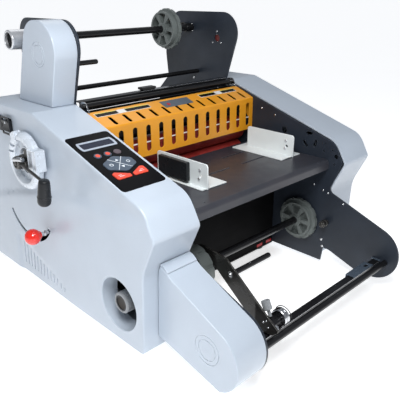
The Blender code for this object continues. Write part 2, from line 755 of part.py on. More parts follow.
def slitter():
    """The slitter that slides on the rail, and the rail's stop plate."""
    rail_y, rail_z = SLITTER_RAIL
    top = rail_z + 5 + GAP
    section = rounded([
        (rail_y + 8.5, top - 8, 0), (rail_y + 14, top - 8, 0), (rail_y + 14, top + 20, 4),
        (rail_y - 10, top + 20, 6), (rail_y - 10, top, 0), (rail_y + 8.5, top, 0),
    ])
    extruded("slitter_block", [section], -148, -126, BLACK_PAINT)
    hub = (rail_y - 2, top + 16.5)
    profile = [(0, 12), (14, 12), (15.5, 10.5), (15.5, 1.5), (14, 0), (0, 0)]
    turned("slitter_wheel", profile, (-125.5, *hub), STEEL, steps=32)
    axis = Vector((0, 0.45, 0.89))
    start = Vector((-137, rail_y + 4, top + 20.4))
    knob = [(0, 30), (6.5, 30), (7.5, 29), (7.5, 14), (3, 14), (3, 2.5), (0, 2.5)]
    turned("slitter_knob", knob, start, ALUMINIUM, axis=axis, steps=24)
    plate = [(rail_y - 9, top), (rail_y + 9, top), (rail_y + 9, top - 8), (rail_y + 11, top - 8),
             (rail_y + 11, top + 2), (rail_y - 9, top + 2)]
    extruded("rail_slider", [plate], 102, 172, ALUMINIUM)


# --------------------------------------------------------------- side controls

def pressure_control():
    """The detent ring on the cover and the lever that turns in it."""
    face = -HALF_WIDTH - GAP
    profile = [
        (40, -face + 12), (44, -face + 18), (52, -face + 18), (58, -face + 10), (58, -face), (40, -face),
    ]
    y, z = PRESSURE_AXIS
    left = (-1, 0, 0)
    ring = turned("pressure_ring", profile, (0, y, z), WHITE_METAL, axis=left, steps=36, closed=True)
    lug = [(y - 74, z - 16), (y - 54, z - 16), (y - 54, z + 12), (y - 74, z + 12)]
    cap = [(y + 20, z + 50), (y + 38, z + 40), (y + 44, z + 58), (y + 26, z + 66)]
    join(ring, cutter("ring_lug", [lug], face - 14, face), cutter("ring_cap", [cap], face - 16, face))
    axis = (0, y, z)
    hub = [(0, 326), (14, 326), (18, 322), (18, 316), (22, 316), (22, 289), (0, 289)]
    lever = turned("pressure_lever", hub, axis, STEEL, axis=left, steps=32)
    start, end = Vector((-321.5, y, z)), Vector((-335, -44, z + 4))
    direction = end - start
    length = direction.length
    rod = [(0, length), (4, length), (4, 0), (0, 0)]
    join(lever, as_cutter(turned_object("lever_rod", rod, start, direction, 16)))
    down = Vector((-1.5, 9, -58)).normalized()
    grip = [(0, 60), (6, 60), (9.5, 57), (10.5, 50), (10.5, 12), (9, 3), (6, 0), (0, 0)]
    top = end + Vector((0, 0, 13))
    bore_start = end - direction.normalized() * 16
    grip_obj = turned("pressure_grip", grip, top, GRIP_PLASTIC, axis=down, steps=24)
    hole = [(0, 17), (4.4, 17), (4.4, 0), (0, 0)]
    cut(grip_obj, as_cutter(turned_object("grip_hole", hole, bore_start, direction, 16)))


def tension_control():
    """The lever with the red ball that travels in the cover's arc slot."""
    pivot_y, pivot_z = TENSION_AXIS
    y = pivot_y - TENSION_RADIUS * math.sin(TENSION_REST)
    z = pivot_z - TENSION_RADIUS * math.cos(TENSION_REST)
    arm = slot((pivot_y, pivot_z), (y, z), 14.0, 8)
    lever = extruded("tension_lever", [arm], -293, -289, STEEL, origin=(0, *TENSION_AXIS))
    left = (-1, 0, 0)
    stem = [(0, 316.5), (3.5, 316.5), (3.5, 291), (0, 291)]
    pivot = [(0, 290), (6, 290), (6, 268), (0, 268)]
    join(
        lever,
        as_cutter(turned_object("tension_stem", stem, (0, y, z), left, 16)),
        as_cutter(turned_object("tension_pivot", pivot, (0, *TENSION_AXIS), left, 16)),
    )
    ball = [(15 * math.sin(math.radians(a)), 332 + 15 * math.cos(math.radians(a))) for a in range(0, 181, 20)]
    ball[0] = (0.0, ball[0][1])
    ball[-1] = (0.0, ball[-1][1])
    turned("tension_ball", ball, (0, y, z), BALL_PLASTIC, axis=left, steps=18)


def power_parts():
    """The rocker switch and the mains inlet in the left cover."""
    y, z = SWITCH
    wedge = [(-13.2, -304.0), (0.0, -301.2), (13.2, -304.0), (13.2, -290.0), (-13.2, -290.0)]
    frame = Matrix(((0, 1, 0, 0), (0, 0, 1, y * MM), (1, 0, 0, z * MM), (0, 0, 0, 1)))
    extruded("power_switch", [wedge], -12.5, 12.5, GRIP_PLASTIC, frame=frame, origin=(-296, y, z))
    y, z = INLET
    body = rectangle(INLET, (48.0, 28.0), 3)
    inlet = extruded("power_inlet", [body], -HALF_WIDTH, -HALF_WIDTH + 26, GRIP_PLASTIC)
    cavity = rounded([
        (y - 12, z - 8, 1), (y + 12, z - 8, 1), (y + 12, z + 3, 1), (y + 7, z + 8, 1),
        (y - 7, z + 8, 1), (y - 12, z + 3, 1),
    ])
    cut(inlet, cutter("inlet_cavity", [cavity], -HALF_WIDTH - 2, -HALF_WIDTH + 18))


# --------------------------------------------------------------- control panel

def nav_outline():
    """The four-way key: a wide hexagon with round corners."""
    return rounded([(-27, -15, 8), (-13, -33, 6), (13, -33, 6), (27, -15, 8), (13, 3, 6), (-13, 3, 6)])


def arrow_outline(sign):
    """A key shaped as a blunt triangle that points away from the middle."""
    corners = [(sign * 8, -37.5, 2.5), (sign * 32, -37.5, 2.5), (sign * 20, -52.5, 2.5)]
    return rounded(corners if sign < 0 else corners[::-1])


def grown(points, by):
    """An outline pushed out from its own middle."""
    middle = sum((Vector(p) for p in points), Vector((0, 0))) / len(points)
    result = []
    for point in points:
        away = Vector(point) - middle
        result.append(tuple(middle + away * (1 + by / away.length)))
    return result


def control_panel():
    """The black panel in the cover's slope, its display and its six keys."""
    frame = slope_frame(PANEL_X, PANEL_Y)
    top = 0.8
    outline = rectangle((0, 0), PANEL_SIZE, 6)
    display = rectangle((0, 49), (66, 25), 3)
    keys = [(f"round_key_{i + 1}", circle((x, 17), 6.5, 20), KEY_RED if i < 2 else KEY_GREY)
            for i, x in enumerate((-20, -1, 18))]
    keys.append(("nav_key", nav_outline(), KEY_GREY))
    keys.append(("arrow_key_left", arrow_outline(-1), KEY_RED))
    keys.append(("arrow_key_right", arrow_outline(1), KEY_RED))
    holes = [grown(display, 0.4)] + [grown(key, 0.5) for _, key, _ in keys]
    extruded("control_panel", [outline] + holes, top - PANEL_THICKNESS, top, PANEL_FILM, frame=frame)
    extruded("display_window", [display], top - PANEL_THICKNESS, top + 0.4, SCREEN, frame=frame)
    for name, key, paint in keys:
        high = top + KEY_PROUD
        extruded(name, [key], high - KEY_THICKNESS, high, paint, frame=frame)


def build():
    """Make every part."""
    side_plates()
    base_and_feet()
    cross_panels()
    side_covers()
    tower_cover()
    arm_cover()
    feed_table()
    paper_guides()
    safety_guard()
    rollers()
    roller_yoke()
    drive_train()
    film_shafts()
    idlers_and_rods()
    link_plate()
    slitter()
    pressure_control()
    tension_control()
    power_parts()
    control_panel()


build()
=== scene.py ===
"""Looks for the desktop hot roll laminator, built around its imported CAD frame.

Lengths are in millimetres in the machine's own frame: X from the middle plane between the two side plates,
Y from the centre line of the heated rollers and Z from the floor. Both datums are read from the frame.
"""

import json
import math

import bmesh
import bpy
from mathutils import Matrix, Vector


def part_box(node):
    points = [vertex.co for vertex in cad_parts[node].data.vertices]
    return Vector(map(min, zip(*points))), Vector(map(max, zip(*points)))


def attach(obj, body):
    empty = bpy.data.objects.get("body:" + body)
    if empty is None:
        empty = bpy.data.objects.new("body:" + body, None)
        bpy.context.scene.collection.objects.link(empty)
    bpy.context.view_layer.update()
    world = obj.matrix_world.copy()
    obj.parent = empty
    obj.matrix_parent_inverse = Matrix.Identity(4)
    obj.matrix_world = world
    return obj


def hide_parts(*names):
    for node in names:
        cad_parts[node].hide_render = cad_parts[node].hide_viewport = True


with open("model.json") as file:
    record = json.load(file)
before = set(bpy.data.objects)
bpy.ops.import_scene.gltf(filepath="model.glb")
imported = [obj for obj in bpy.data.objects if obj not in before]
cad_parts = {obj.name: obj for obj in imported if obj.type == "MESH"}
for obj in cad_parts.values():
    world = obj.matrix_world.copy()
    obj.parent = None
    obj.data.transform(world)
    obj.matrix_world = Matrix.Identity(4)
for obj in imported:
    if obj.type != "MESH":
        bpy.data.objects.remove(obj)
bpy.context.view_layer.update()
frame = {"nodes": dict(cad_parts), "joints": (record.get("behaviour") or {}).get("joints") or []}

MM = 0.001
PLATE_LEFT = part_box("side_plate_left")
PLATE_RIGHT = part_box("side_plate_right")
JOINTS = {joint["name"]: joint for joint in frame["joints"]}
SHIFT = Vector((
    (PLATE_LEFT[0].x + PLATE_RIGHT[1].x) / 2,
    JOINTS["heat_lower_spin"]["pos_m"][1],
    0.0,
))


def span(node):
    """Lowest and highest corner of a CAD node, in machine millimetres."""
    low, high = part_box(node)
    return (low - SHIFT) / MM, (high - SHIFT) / MM


def axis_centre(node):
    """The middle of a node's box in Y and Z, in machine millimetres."""
    low, high = span(node)
    return (low.y + high.y) / 2, (low.z + high.z) / 2


def axis_of(joint):
    """A joint's place in machine millimetres."""
    return (Vector(JOINTS[joint]["pos_m"]) - SHIFT) / MM


# Sizes read from the frame
COVER_LOW, COVER_HIGH = span("side_cover_left")
HALF_WIDTH = -COVER_LOW.x
COVER_INNER = -COVER_HIGH.x
COVER_BOTTOM = COVER_LOW.z
COVER_TOP = COVER_HIGH.z
BODY_REAR = COVER_HIGH.y
PLATE_OUTER = span("side_plate_right")[1].x
PLATE_INNER = span("side_plate_right")[0].x
PLATE_BOTTOM = span("side_plate_right")[0].z
TOWER_COVER_OUTER = -span("tower_cover")[0].x
ARM_COVER_OUTER = -span("arm_cover")[0].x
TABLE_TOP = span("feed_table")[1].z
TABLE_FRONT = span("feed_table")[0].y
TABLE_REAR = span("feed_table")[1].y
GUARD_LOW, GUARD_HIGH = span("safety_guard")
UPPER_SHAFT = axis_of("upper_reel_spin").yz
LOWER_SHAFT = axis_of("lower_reel_spin").yz
UPPER_IDLER = axis_of("upper_idler_spin").yz
FRONT_IDLER = axis_of("front_idler_spin").yz
HINGE_ROD = axis_of("guard_hinge").yz
PRESSURE_AXIS = axis_of("pressure_turn").yz
TENSION_AXIS = axis_of("tension_turn").yz
HEAT_LOWER = axis_of("heat_lower_spin").yz
HEAT_UPPER = axis_of("heat_upper_spin").yz

# Shape values that the frame's boxes don't show; points are (y, z), or (u, v) on the control panel
KNEE_Y = 36.0  # the covers' flat top turns into the front slope
SLOPE_END = (-262.0, 287.0)
SLOPE_RISE = (COVER_TOP - SLOPE_END[1]) / (KNEE_Y - SLOPE_END[0])
COVER_WALL = 3.0
COVER_EDGE = 3.2
BODY_FRONT = -250.0
RELIEF_START = 262.0  # the left cover's relief grows from here outward, over RELIEF_RUN
RELIEF_RUN = 34.0
RELIEF_GRID = 6.0
TOWER_TOP = 530.0
TOWER_HUB = (75.0, 471.0)
ARM_HUB = (-363.0, 86.0)
ARM_TIP = (-368.0, 76.0)
ARM_TIP_RADIUS = 56.0
BEARING_BORE = 9.0
LIFT_SLOT = 10.5  # how far the upper heated roller's journals can rise
ROLLER_END = 190.0
SHAFT_RADIUS = 7.5
LOWER_KNOB_REACH = 2.0  # the lower knob stands this much further out than its CAD node
SLOT_ROWS = (-138.0, -83.0)  # the table's two rows of guide slots
GUARD_FRONT_TOP = 349.0
GUARD_TOP_REAR = (12.0, 368.0)
GUARD_SHEET = 1.5
GUARD_SLOTS = 12
GUARD_SLOT_PITCH = 32.0
GUARD_SLOT_FIRST = -166.5
PANEL_X = -254.5
PANEL_Y = -139.0
PANEL_SIZE = (84.0, 165.0)
RECESS_RADIUS = 50.0  # round the lower film shaft's knob
TENSION_RADIUS = 87.0
TENSION_SLOT = (-58.0, 57.0)
LINK_BEND = -360.0
LINK_LEAN = 0.31  # sideways run of the link plate behind its bend, per unit of length

# Turns that stand a flat outline up in the Y-Z plane, leave it level, or face it to the front
SIDE = Matrix(((0, 0, 1, 0), (1, 0, 0, 0), (0, 1, 0, 0), (0, 0, 0, 1)))
LEVEL = Matrix.Identity(4)
FRONT = Matrix(((1, 0, 0, 0), (0, 0, -1, 0), (0, 1, 0, 0), (0, 0, 0, 1)))
ALONG_X = Vector((1, 0, 0))
TO_LEFT = Vector((-1, 0, 0))
UP = Vector((0, 0, 1))


# ------------------------------------------------------------------ materials

SPECKLE_SIZE = 1.6


def link(tree, source, target):
    """Join two sockets."""
    tree.links.new(source, target)


def noise(tree, vector, size, detail=3.0):
    """A noise texture whose features are about size millimetres."""
    made = tree.nodes.new("ShaderNodeTexNoise")
    made.inputs["Scale"].default_value = 1.0 / (size * MM)
    made.inputs["Detail"].default_value = detail
    link(tree, vector, made.inputs["Vector"])
    return made.outputs["Fac"]


def ranged(tree, value, low, high, start=0.3, end=0.7):
    """Map a value from start..end to low..high, clamped."""
    made = tree.nodes.new("ShaderNodeMapRange")
    made.inputs["From Min"].default_value = start
    made.inputs["From Max"].default_value = end
    made.inputs["To Min"].default_value = low
    made.inputs["To Max"].default_value = high
    link(tree, value, made.inputs["Value"])
    return made.outputs["Result"]


def mixed(tree, factor, first, second):
    """Mix two colours; each is a colour or a socket."""
    made = tree.nodes.new("ShaderNodeMix")
    made.data_type = "RGBA"
    link(tree, factor, made.inputs[0])
    for socket, colour in ((made.inputs[6], first), (made.inputs[7], second)):
        if isinstance(colour, tuple):
            socket.default_value = (*colour, 1.0)
        else:
            link(tree, colour, socket)
    return made.outputs[2]


def scaled(colour, factor):
    """A colour made lighter or darker."""
    return tuple(min(1.0, channel * factor) for channel in colour)


def edge_mask(tree, width, breakup):
    """White along outer edges, broken up by a noise."""
    bevel = tree.nodes.new("ShaderNodeBevel")
    bevel.samples = 4
    bevel.inputs["Radius"].default_value = width * MM
    geometry = tree.nodes.new("ShaderNodeNewGeometry")
    dot = tree.nodes.new("ShaderNodeVectorMath")
    dot.operation = "DOT_PRODUCT"
    link(tree, bevel.outputs["Normal"], dot.inputs[0])
    link(tree, geometry.outputs["Normal"], dot.inputs[1])
    edge = ranged(tree, dot.outputs["Value"], 1.0, 0.0, 0.80, 0.99)
    product = tree.nodes.new("ShaderNodeMath")
    product.operation = "MULTIPLY"
    link(tree, edge, product.inputs[0])
    link(tree, breakup, product.inputs[1])
    return product.outputs["Value"]


def surface(name, colour, roughness, metallic=0.0, patch=0.06, patch_size=70.0, speckle=0.05,
            polish=0.06, grain=0.12, grain_size=0.9, depth=0.05, stretch=(1.0, 1.0, 1.0),
            edge_wear_and_highlight=None, edge_wear_and_highlight_width=0.7, coat=0.0, specular=0.5, tint=None):
    """A moulded, painted or machined surface with patches, speckle, uneven polish, grain and lighter edges,
    which are worn edges on some materials and a painted highlight on others.
    """
    made = bpy.data.materials.new(name)
    made.use_nodes = True
    tree = made.node_tree
    shader = tree.nodes["Principled BSDF"]
    shader.inputs["Metallic"].default_value = metallic
    shader.inputs["Specular IOR Level"].default_value = specular
    shader.inputs["Coat Weight"].default_value = coat
    shader.inputs["Coat Roughness"].default_value = 0.12
    place = tree.nodes.new("ShaderNodeTexCoord")
    mapping = tree.nodes.new("ShaderNodeMapping")
    mapping.inputs["Scale"].default_value = stretch
    link(tree, place.outputs["Object"], mapping.inputs["Vector"])
    plain = place.outputs["Object"]
    run = mapping.outputs["Vector"]
    patches = ranged(tree, noise(tree, plain, patch_size, 4.0), 0.0, 1.0)
    lighter = tint or scaled(colour, 1 + patch)
    base = mixed(tree, patches, scaled(colour, 1 - patch), lighter)
    flecks = ranged(tree, noise(tree, run, SPECKLE_SIZE, 2.0), 0.0, speckle, 0.45, 0.75)
    base = mixed(tree, flecks, base, scaled(colour, 0.25))
    rough = ranged(tree, noise(tree, run, 24.0, 5.0), roughness - polish, roughness + polish)
    # Lighter outer edges: worn paint or metal on some materials, a painted edge highlight on others.
    if edge_wear_and_highlight is not None:
        edge_breakup = ranged(tree, noise(tree, plain, 9.0, 4.0), 0.15, 1.0, 0.35, 0.65)
        mask = edge_mask(tree, edge_wear_and_highlight_width, edge_breakup)
        base = mixed(tree, mask, base, edge_wear_and_highlight)
    link(tree, base, shader.inputs["Base Color"])
    link(tree, rough, shader.inputs["Roughness"])
    bump = tree.nodes.new("ShaderNodeBump")
    bump.inputs["Strength"].default_value = grain
    bump.inputs["Distance"].default_value = depth * MM
    link(tree, noise(tree, run, grain_size, 4.0), bump.inputs["Height"])
    link(tree, bump.outputs["Normal"], shader.inputs["Normal"])
    return made


BRUSHED_X = (0.03, 1.0, 1.0)
# The pale edges of the cover paint are a painted highlight along the moulded covers' rounded rims.
COVER_PAINT = surface("cover_paint", (0.45, 0.505, 0.575), 0.34, patch=0.025, speckle=0.03, grain=0.10,
                      grain_size=0.7, edge_wear_and_highlight=(0.70, 0.76, 0.83), edge_wear_and_highlight_width=1.6, coat=0.2)
PLATE_PAINT = surface("plate_paint", (0.019, 0.025, 0.036), 0.42, patch=0.16, patch_size=55, speckle=0.12,
                      grain=0.35, grain_size=0.8, depth=0.08, edge_wear_and_highlight=(0.16, 0.18, 0.21), specular=0.35)
TABLE_PAINT = surface("table_paint", (0.031, 0.035, 0.046), 0.36, patch=0.15, patch_size=80, speckle=0.10,
                      grain=0.30, grain_size=0.9, depth=0.06, edge_wear_and_highlight=(0.22, 0.23, 0.26),
                      tint=(0.042, 0.040, 0.048))
BLACK_PAINT = surface("black_paint", (0.007, 0.007, 0.008), 0.28, patch=0.3, speckle=0.1, grain=0.15,
                      stretch=BRUSHED_X, edge_wear_and_highlight=(0.10, 0.10, 0.11), specular=0.35)
# Near-black with almost no sheen, darker than the black paint: on the apron it is painted shade, so the film
# bay under the table reads as deep shade.
DEEP_BLACK_AND_SHADE = surface("deep_black_and_shade", (0.0035, 0.0035, 0.004), 0.60, patch=0.3, speckle=0.1, grain=0.3,
                      stretch=BRUSHED_X, edge_wear_and_highlight=(0.03, 0.03, 0.03), specular=0.06)
GUARD_PAINT = surface("guard_paint", (0.76, 0.31, 0.011), 0.38, patch=0.05, patch_size=45, speckle=0.05,
                      grain=0.3, grain_size=1.1, depth=0.06, edge_wear_and_highlight=(0.95, 0.55, 0.12), coat=0.15)
CHUCK_PLASTIC = surface("chuck_plastic", (0.125, 0.142, 0.137), 0.46, patch=0.08, speckle=0.10, grain=0.3,
                        grain_size=0.8, edge_wear_and_highlight=(0.33, 0.35, 0.34))
SILICONE = surface("silicone", (0.24, 0.018, 0.014), 0.42, patch=0.16, patch_size=35, speckle=0.12,
                   grain=0.25, grain_size=1.4, stretch=(0.4, 1.0, 1.0), tint=(0.31, 0.032, 0.026))
STEEL = surface("steel", (0.62, 0.63, 0.65), 0.20, 1.0, patch=0.1, speckle=0.12, polish=0.08, grain=0.2,
                edge_wear_and_highlight=(0.85, 0.85, 0.86))
BRUSHED_STEEL = surface("brushed_steel", (0.70, 0.71, 0.73), 0.32, 0.85, patch=0.12, speckle=0.2, grain=0.5,
                        grain_size=0.35, stretch=(1.0, 1.0, 0.06), edge_wear_and_highlight=(0.85, 0.85, 0.86))
# The light edges on gunmetal are partly a painted highlight: a bright thin line along edges such as the link
# plate's.
GUNMETAL = surface("gunmetal", (0.040, 0.038, 0.036), 0.30, 0.55, patch=0.22, patch_size=40, speckle=0.2,
                   grain=0.4, grain_size=0.5, stretch=(1.0, 0.10, 1.0), edge_wear_and_highlight=(0.62, 0.60, 0.56),
                   edge_wear_and_highlight_width=1.3)
WHITE_METAL = surface("white_metal", (0.66, 0.71, 0.77), 0.27, 0.25, patch=0.08, patch_size=22, speckle=0.1,
                      grain=0.4, grain_size=1.3, depth=0.12, edge_wear_and_highlight=(0.95, 0.96, 0.98), coat=0.2)
GUIDE_PAINT = surface("guide_paint", (0.74, 0.78, 0.78), 0.40, patch=0.05, speckle=0.05, grain=0.2,
                      edge_wear_and_highlight=(0.90, 0.92, 0.92))
GRIP_PLASTIC = surface("grip_plastic", (0.014, 0.015, 0.017), 0.30, patch=0.2, speckle=0.1, grain=0.35,
                       grain_size=0.9, edge_wear_and_highlight=(0.06, 0.06, 0.07), specular=0.25)
BALL_PLASTIC = surface("ball_plastic", (0.76, 0.018, 0.008), 0.10, patch=0.06, speckle=0.02, polish=0.04,
                       grain=0.05, coat=0.6)
PANEL_FILM = surface("panel_film", (0.004, 0.004, 0.005), 0.22, patch=0.2, speckle=0.1, polish=0.05,
                     grain=0.12, grain_size=0.5, specular=0.03)
SCREEN = surface("screen", (0.006, 0.011, 0.030), 0.14, patch=0.2, patch_size=9, speckle=0.2, polish=0.03,
                 grain=0.05, specular=0.12)
SCREEN_FRAME = surface("screen_frame", (0.42, 0.47, 0.55), 0.34, 0.3, patch=0.08, patch_size=8, grain=0.2)
KEY_GREY = surface("key_grey", (0.050, 0.072, 0.105), 0.36, patch=0.12, patch_size=9, grain=0.3,
                   grain_size=0.5)
KEY_MAUVE = surface("key_mauve", (0.085, 0.062, 0.075), 0.38, patch=0.12, patch_size=7, grain=0.3)
KEY_RED = surface("key_red", (0.72, 0.055, 0.022), 0.34, patch=0.1, patch_size=9, grain=0.3, grain_size=0.5)
PRINT_WHITE = surface("print_white", (0.72, 0.76, 0.80), 0.45, patch=0.1, patch_size=5, grain=0.1)
RUBBER = surface("rubber", (0.016, 0.016, 0.017), 0.75, patch=0.2, speckle=0.2, grain=0.5, grain_size=1.2)
ALUMINIUM = surface("aluminium", (0.34, 0.35, 0.36), 0.34, 0.8, patch=0.1, speckle=0.15, grain=0.4,
                    grain_size=0.5, stretch=BRUSHED_X, edge_wear_and_highlight=(0.75, 0.76, 0.78))
DARK_CASTING = surface("dark_casting", (0.030, 0.030, 0.032), 0.45, 0.3, patch=0.2, speckle=0.15, grain=0.4,
                       edge_wear_and_highlight=(0.2, 0.2, 0.2))
SLIDE_METAL = surface("slide_metal", (0.10, 0.13, 0.17), 0.25, 0.4, patch=0.15, speckle=0.15, grain=0.3,
                      edge_wear_and_highlight=(0.45, 0.5, 0.56))
GEAR_PLASTIC = surface("gear_plastic", (0.62, 0.60, 0.52), 0.5, patch=0.08, grain=0.2)
KNOB_GREY = surface("knob_grey", (0.24, 0.25, 0.26), 0.42, patch=0.1, speckle=0.2, grain=0.3,
                    grain_size=0.7, edge_wear_and_highlight=(0.55, 0.56, 0.58))
KNOB_CORE = surface("knob_core", (0.018, 0.013, 0.009), 0.45, patch=0.3, patch_size=6, grain=0.3,
                    specular=0.2)
LABEL_BLACK = surface("label_black", (0.006, 0.006, 0.006), 0.30, patch=0.3, patch_size=8, grain=0.1,
                      specular=0.1)
LABEL_WHITE = surface("label_white", (0.72, 0.72, 0.70), 0.40, patch=0.06, patch_size=8, grain=0.1)
LABEL_BLUE = surface("label_blue", (0.085, 0.105, 0.130), 0.34, patch=0.1, patch_size=12, grain=0.15)
LABEL_YELLOW = surface("label_yellow", (0.75, 0.62, 0.05), 0.40, patch=0.06, patch_size=6, grain=0.1)
MARK_RED = surface("mark_red", (0.45, 0.008, 0.012), 0.35, patch=0.1, patch_size=6, grain=0.1)
DARK_RED = surface("dark_red", (0.10, 0.012, 0.010), 0.45, patch=0.2, patch_size=6, grain=0.2)


# ------------------------------------------------------------------- outlines

def arc(centre, radius, start, end, step=6.0):
    """Points on an arc, angles in degrees."""
    count = max(2, math.ceil(abs(end - start) / step))
    points = []
    for i in range(count + 1):
        angle = math.radians(start + (end - start) * i / count)
        points.append((centre[0] + radius * math.cos(angle), centre[1] + radius * math.sin(angle)))
    return points


def rounded(corners, step=7.0):
    """Turn (u, v, radius) corners into an outline whose corners are arcs."""
    points = []
    count = len(corners)
    for i, (u, v, radius) in enumerate(corners):
        corner = Vector((u, v))
        if radius <= 0:
            points.append((u, v))
            continue
        before = (Vector(corners[i - 1][:2]) - corner).normalized()
        after = (Vector(corners[(i + 1) % count][:2]) - corner).normalized()
        half = before.angle(after) / 2
        reach = radius / math.tan(half)
        centre = corner + (before + after).normalized() * radius / math.sin(half)
        start = corner + before * reach - centre
        end = corner + after * reach - centre
        first = math.degrees(math.atan2(start.y, start.x))
        sweep = (math.degrees(math.atan2(end.y, end.x)) - first + 180) % 360 - 180
        points += arc(centre, radius, first, first + sweep, step)
    return points


def circle(centre, radius, count=48):
    """A full circle as an outline."""
    return arc(centre, radius, 0, 360 * (count - 1) / count, 360 / count)


def rectangle(centre, size, radius=0.0):
    """A rectangle, with rounded corners if a radius is given."""
    u, v = centre
    a, b = size[0] / 2, size[1] / 2
    corners = ((u - a, v - b), (u + a, v - b), (u + a, v + b), (u - a, v + b))
    return rounded([(*corner, radius) for corner in corners], 15)


def panel(u_low, v_low, u_high, v_high, radius=0.0):
    """A rectangle between two opposite corners."""
    return rectangle(((u_low + u_high) / 2, (v_low + v_high) / 2), (u_high - u_low, v_high - v_low), radius)


def slot(start, end, width, step=15.0):
    """A straight slot with round ends."""
    direction = math.degrees(math.atan2(end[1] - start[1], end[0] - start[0]))
    points = arc(end, width / 2, direction - 90, direction + 90, step)
    return points + arc(start, width / 2, direction + 90, direction + 270, step)


def arc_slot(centre, radius, width, start, end):
    """A slot that follows an arc, with square ends."""
    outer = arc(centre, radius + width / 2, start, end, 5)
    return outer + arc(centre, radius - width / 2, end, start, 5)


def grown(points, by):
    """An outline pushed out from its own middle."""
    middle = sum((Vector(p) for p in points), Vector((0, 0))) / len(points)
    result = []
    for point in points:
        away = Vector(point) - middle
        result.append(tuple(middle + away * (1 + by / away.length)))
    return result


# -------------------------------------------------------------------- meshes

def mesh_of(curve):
    """A curve's evaluated mesh."""
    source = bpy.data.objects.new(curve.name, curve)
    bpy.context.scene.collection.objects.link(source)
    graph = bpy.context.evaluated_depsgraph_get()
    mesh = bpy.data.meshes.new_from_object(source.evaluated_get(graph))
    bpy.data.objects.remove(source, do_unlink=True)
    return mesh


def cleaned(mesh, flatten=False):
    """Weld a mesh's doubled points, merge its flat faces if asked, and point its faces out."""
    bm = bmesh.new()
    bm.from_mesh(mesh)
    bmesh.ops.remove_doubles(bm, verts=bm.verts, dist=1e-6)
    if flatten:
        bmesh.ops.dissolve_limit(bm, angle_limit=math.radians(0.5), verts=bm.verts, edges=bm.edges)
    bmesh.ops.recalc_face_normals(bm, faces=bm.faces)
    bm.to_mesh(mesh)
    bm.free()
    return mesh


def made_from(bm, name):
    """A new mesh with a bmesh's geometry."""
    mesh = bpy.data.meshes.new(name)
    bm.to_mesh(mesh)
    bm.free()
    return mesh


def prism_mesh(loops, low, high, turn=SIDE):
    """Extrude a flat outline, with any holes, from low to high along the frame's third axis."""
    curve = bpy.data.curves.new("outline", "CURVE")
    curve.dimensions = "2D"
    curve.fill_mode = "BOTH"
    curve.extrude = (high - low) / 2 * MM
    for loop in loops:
        spline = curve.splines.new("POLY")
        spline.points.add(len(loop) - 1)
        for point, (u, v) in zip(spline.points, loop):
            point.co = (u * MM, v * MM, 0, 1)
        spline.use_cyclic_u = True
    mesh = mesh_of(curve)
    mesh.transform(turn @ Matrix.Translation((0, 0, (low + high) / 2 * MM)))
    return cleaned(mesh, flatten=len(loops) == 1)


def box_mesh(low, high):
    """A box between two corners."""
    bm = bmesh.new()
    bmesh.ops.create_cube(bm, size=1.0)
    bmesh.ops.scale(bm, vec=[(b - a) * MM for a, b in zip(low, high)], verts=bm.verts)
    bmesh.ops.translate(bm, vec=[(a + b) / 2 * MM for a, b in zip(low, high)], verts=bm.verts)
    return made_from(bm, "box")


def turned_mesh(profile, centre, axis=ALONG_X, steps=64, closed=False):
    """Sweep (radius, distance) pairs round an axis through the centre."""
    bm = bmesh.new()
    verts = [bm.verts.new((radius * MM, 0.0, along * MM)) for radius, along in profile]
    edges = [bm.edges.new(pair) for pair in zip(verts, verts[1:])]
    if closed:
        edges.append(bm.edges.new((verts[-1], verts[0])))
    bmesh.ops.spin(bm, geom=verts + edges, cent=(0, 0, 0), axis=(0, 0, 1), angle=2 * math.pi, steps=steps,
                   use_merge=True, use_duplicate=False)
    bmesh.ops.remove_doubles(bm, verts=bm.verts, dist=1e-6)
    bmesh.ops.dissolve_degenerate(bm, edges=bm.edges, dist=1e-7)
    bmesh.ops.recalc_face_normals(bm, faces=bm.faces)
    turn = Vector(axis).to_track_quat("Z", "Y").to_matrix().to_4x4()
    bmesh.ops.transform(bm, matrix=Matrix.Translation(Vector(centre) * MM) @ turn, verts=bm.verts)
    return made_from(bm, "turned")


def stepped(lengths):
    """A turned profile from (start, end, radius) steps that join end to end."""
    profile = [(0.0, lengths[0][0])]
    for start, end, radius in lengths:
        profile += [(radius, start), (radius, end)]
    return profile + [(0.0, lengths[-1][1])]


def band(inner, outer, low, high):
    """A turned profile of a plain ring."""
    return [(inner, low), (outer, low), (outer, high), (inner, high)]


def ball_mesh(centre, radius, steps):
    """A ball."""
    profile = []
    for i in range(steps // 2 + 1):
        angle = math.pi * i / (steps // 2)
        profile.append((radius * math.sin(angle), -radius * math.cos(angle)))
    profile[0] = (0.0, -radius)
    profile[-1] = (0.0, radius)
    return turned_mesh(profile, centre, ALONG_X, steps)


def tube_mesh(points, radius):
    """A round rod through points."""
    curve = bpy.data.curves.new("tube", "CURVE")
    curve.dimensions = "3D"
    curve.bevel_depth = radius * MM
    curve.bevel_resolution = 8
    curve.use_fill_caps = True
    spline = curve.splines.new("POLY")
    spline.points.add(len(points) - 1)
    for point, place in zip(spline.points, points):
        point.co = (*[c * MM for c in place], 1)
    return cleaned(mesh_of(curve))


def merged(meshes):
    """Several meshes in one."""
    bm = bmesh.new()
    for mesh in meshes:
        bm.from_mesh(mesh)
        bpy.data.meshes.remove(mesh)
    return made_from(bm, "merged")


# -------------------------------------------------------------------- objects

def thing(name, mesh):
    """Put a mesh, or several as one, in the scene at the machine's datum."""
    if isinstance(mesh, list):
        mesh = merged(mesh)
    obj = bpy.data.objects.new(name, mesh)
    obj.location = SHIFT
    bpy.context.scene.collection.objects.link(obj)
    return obj


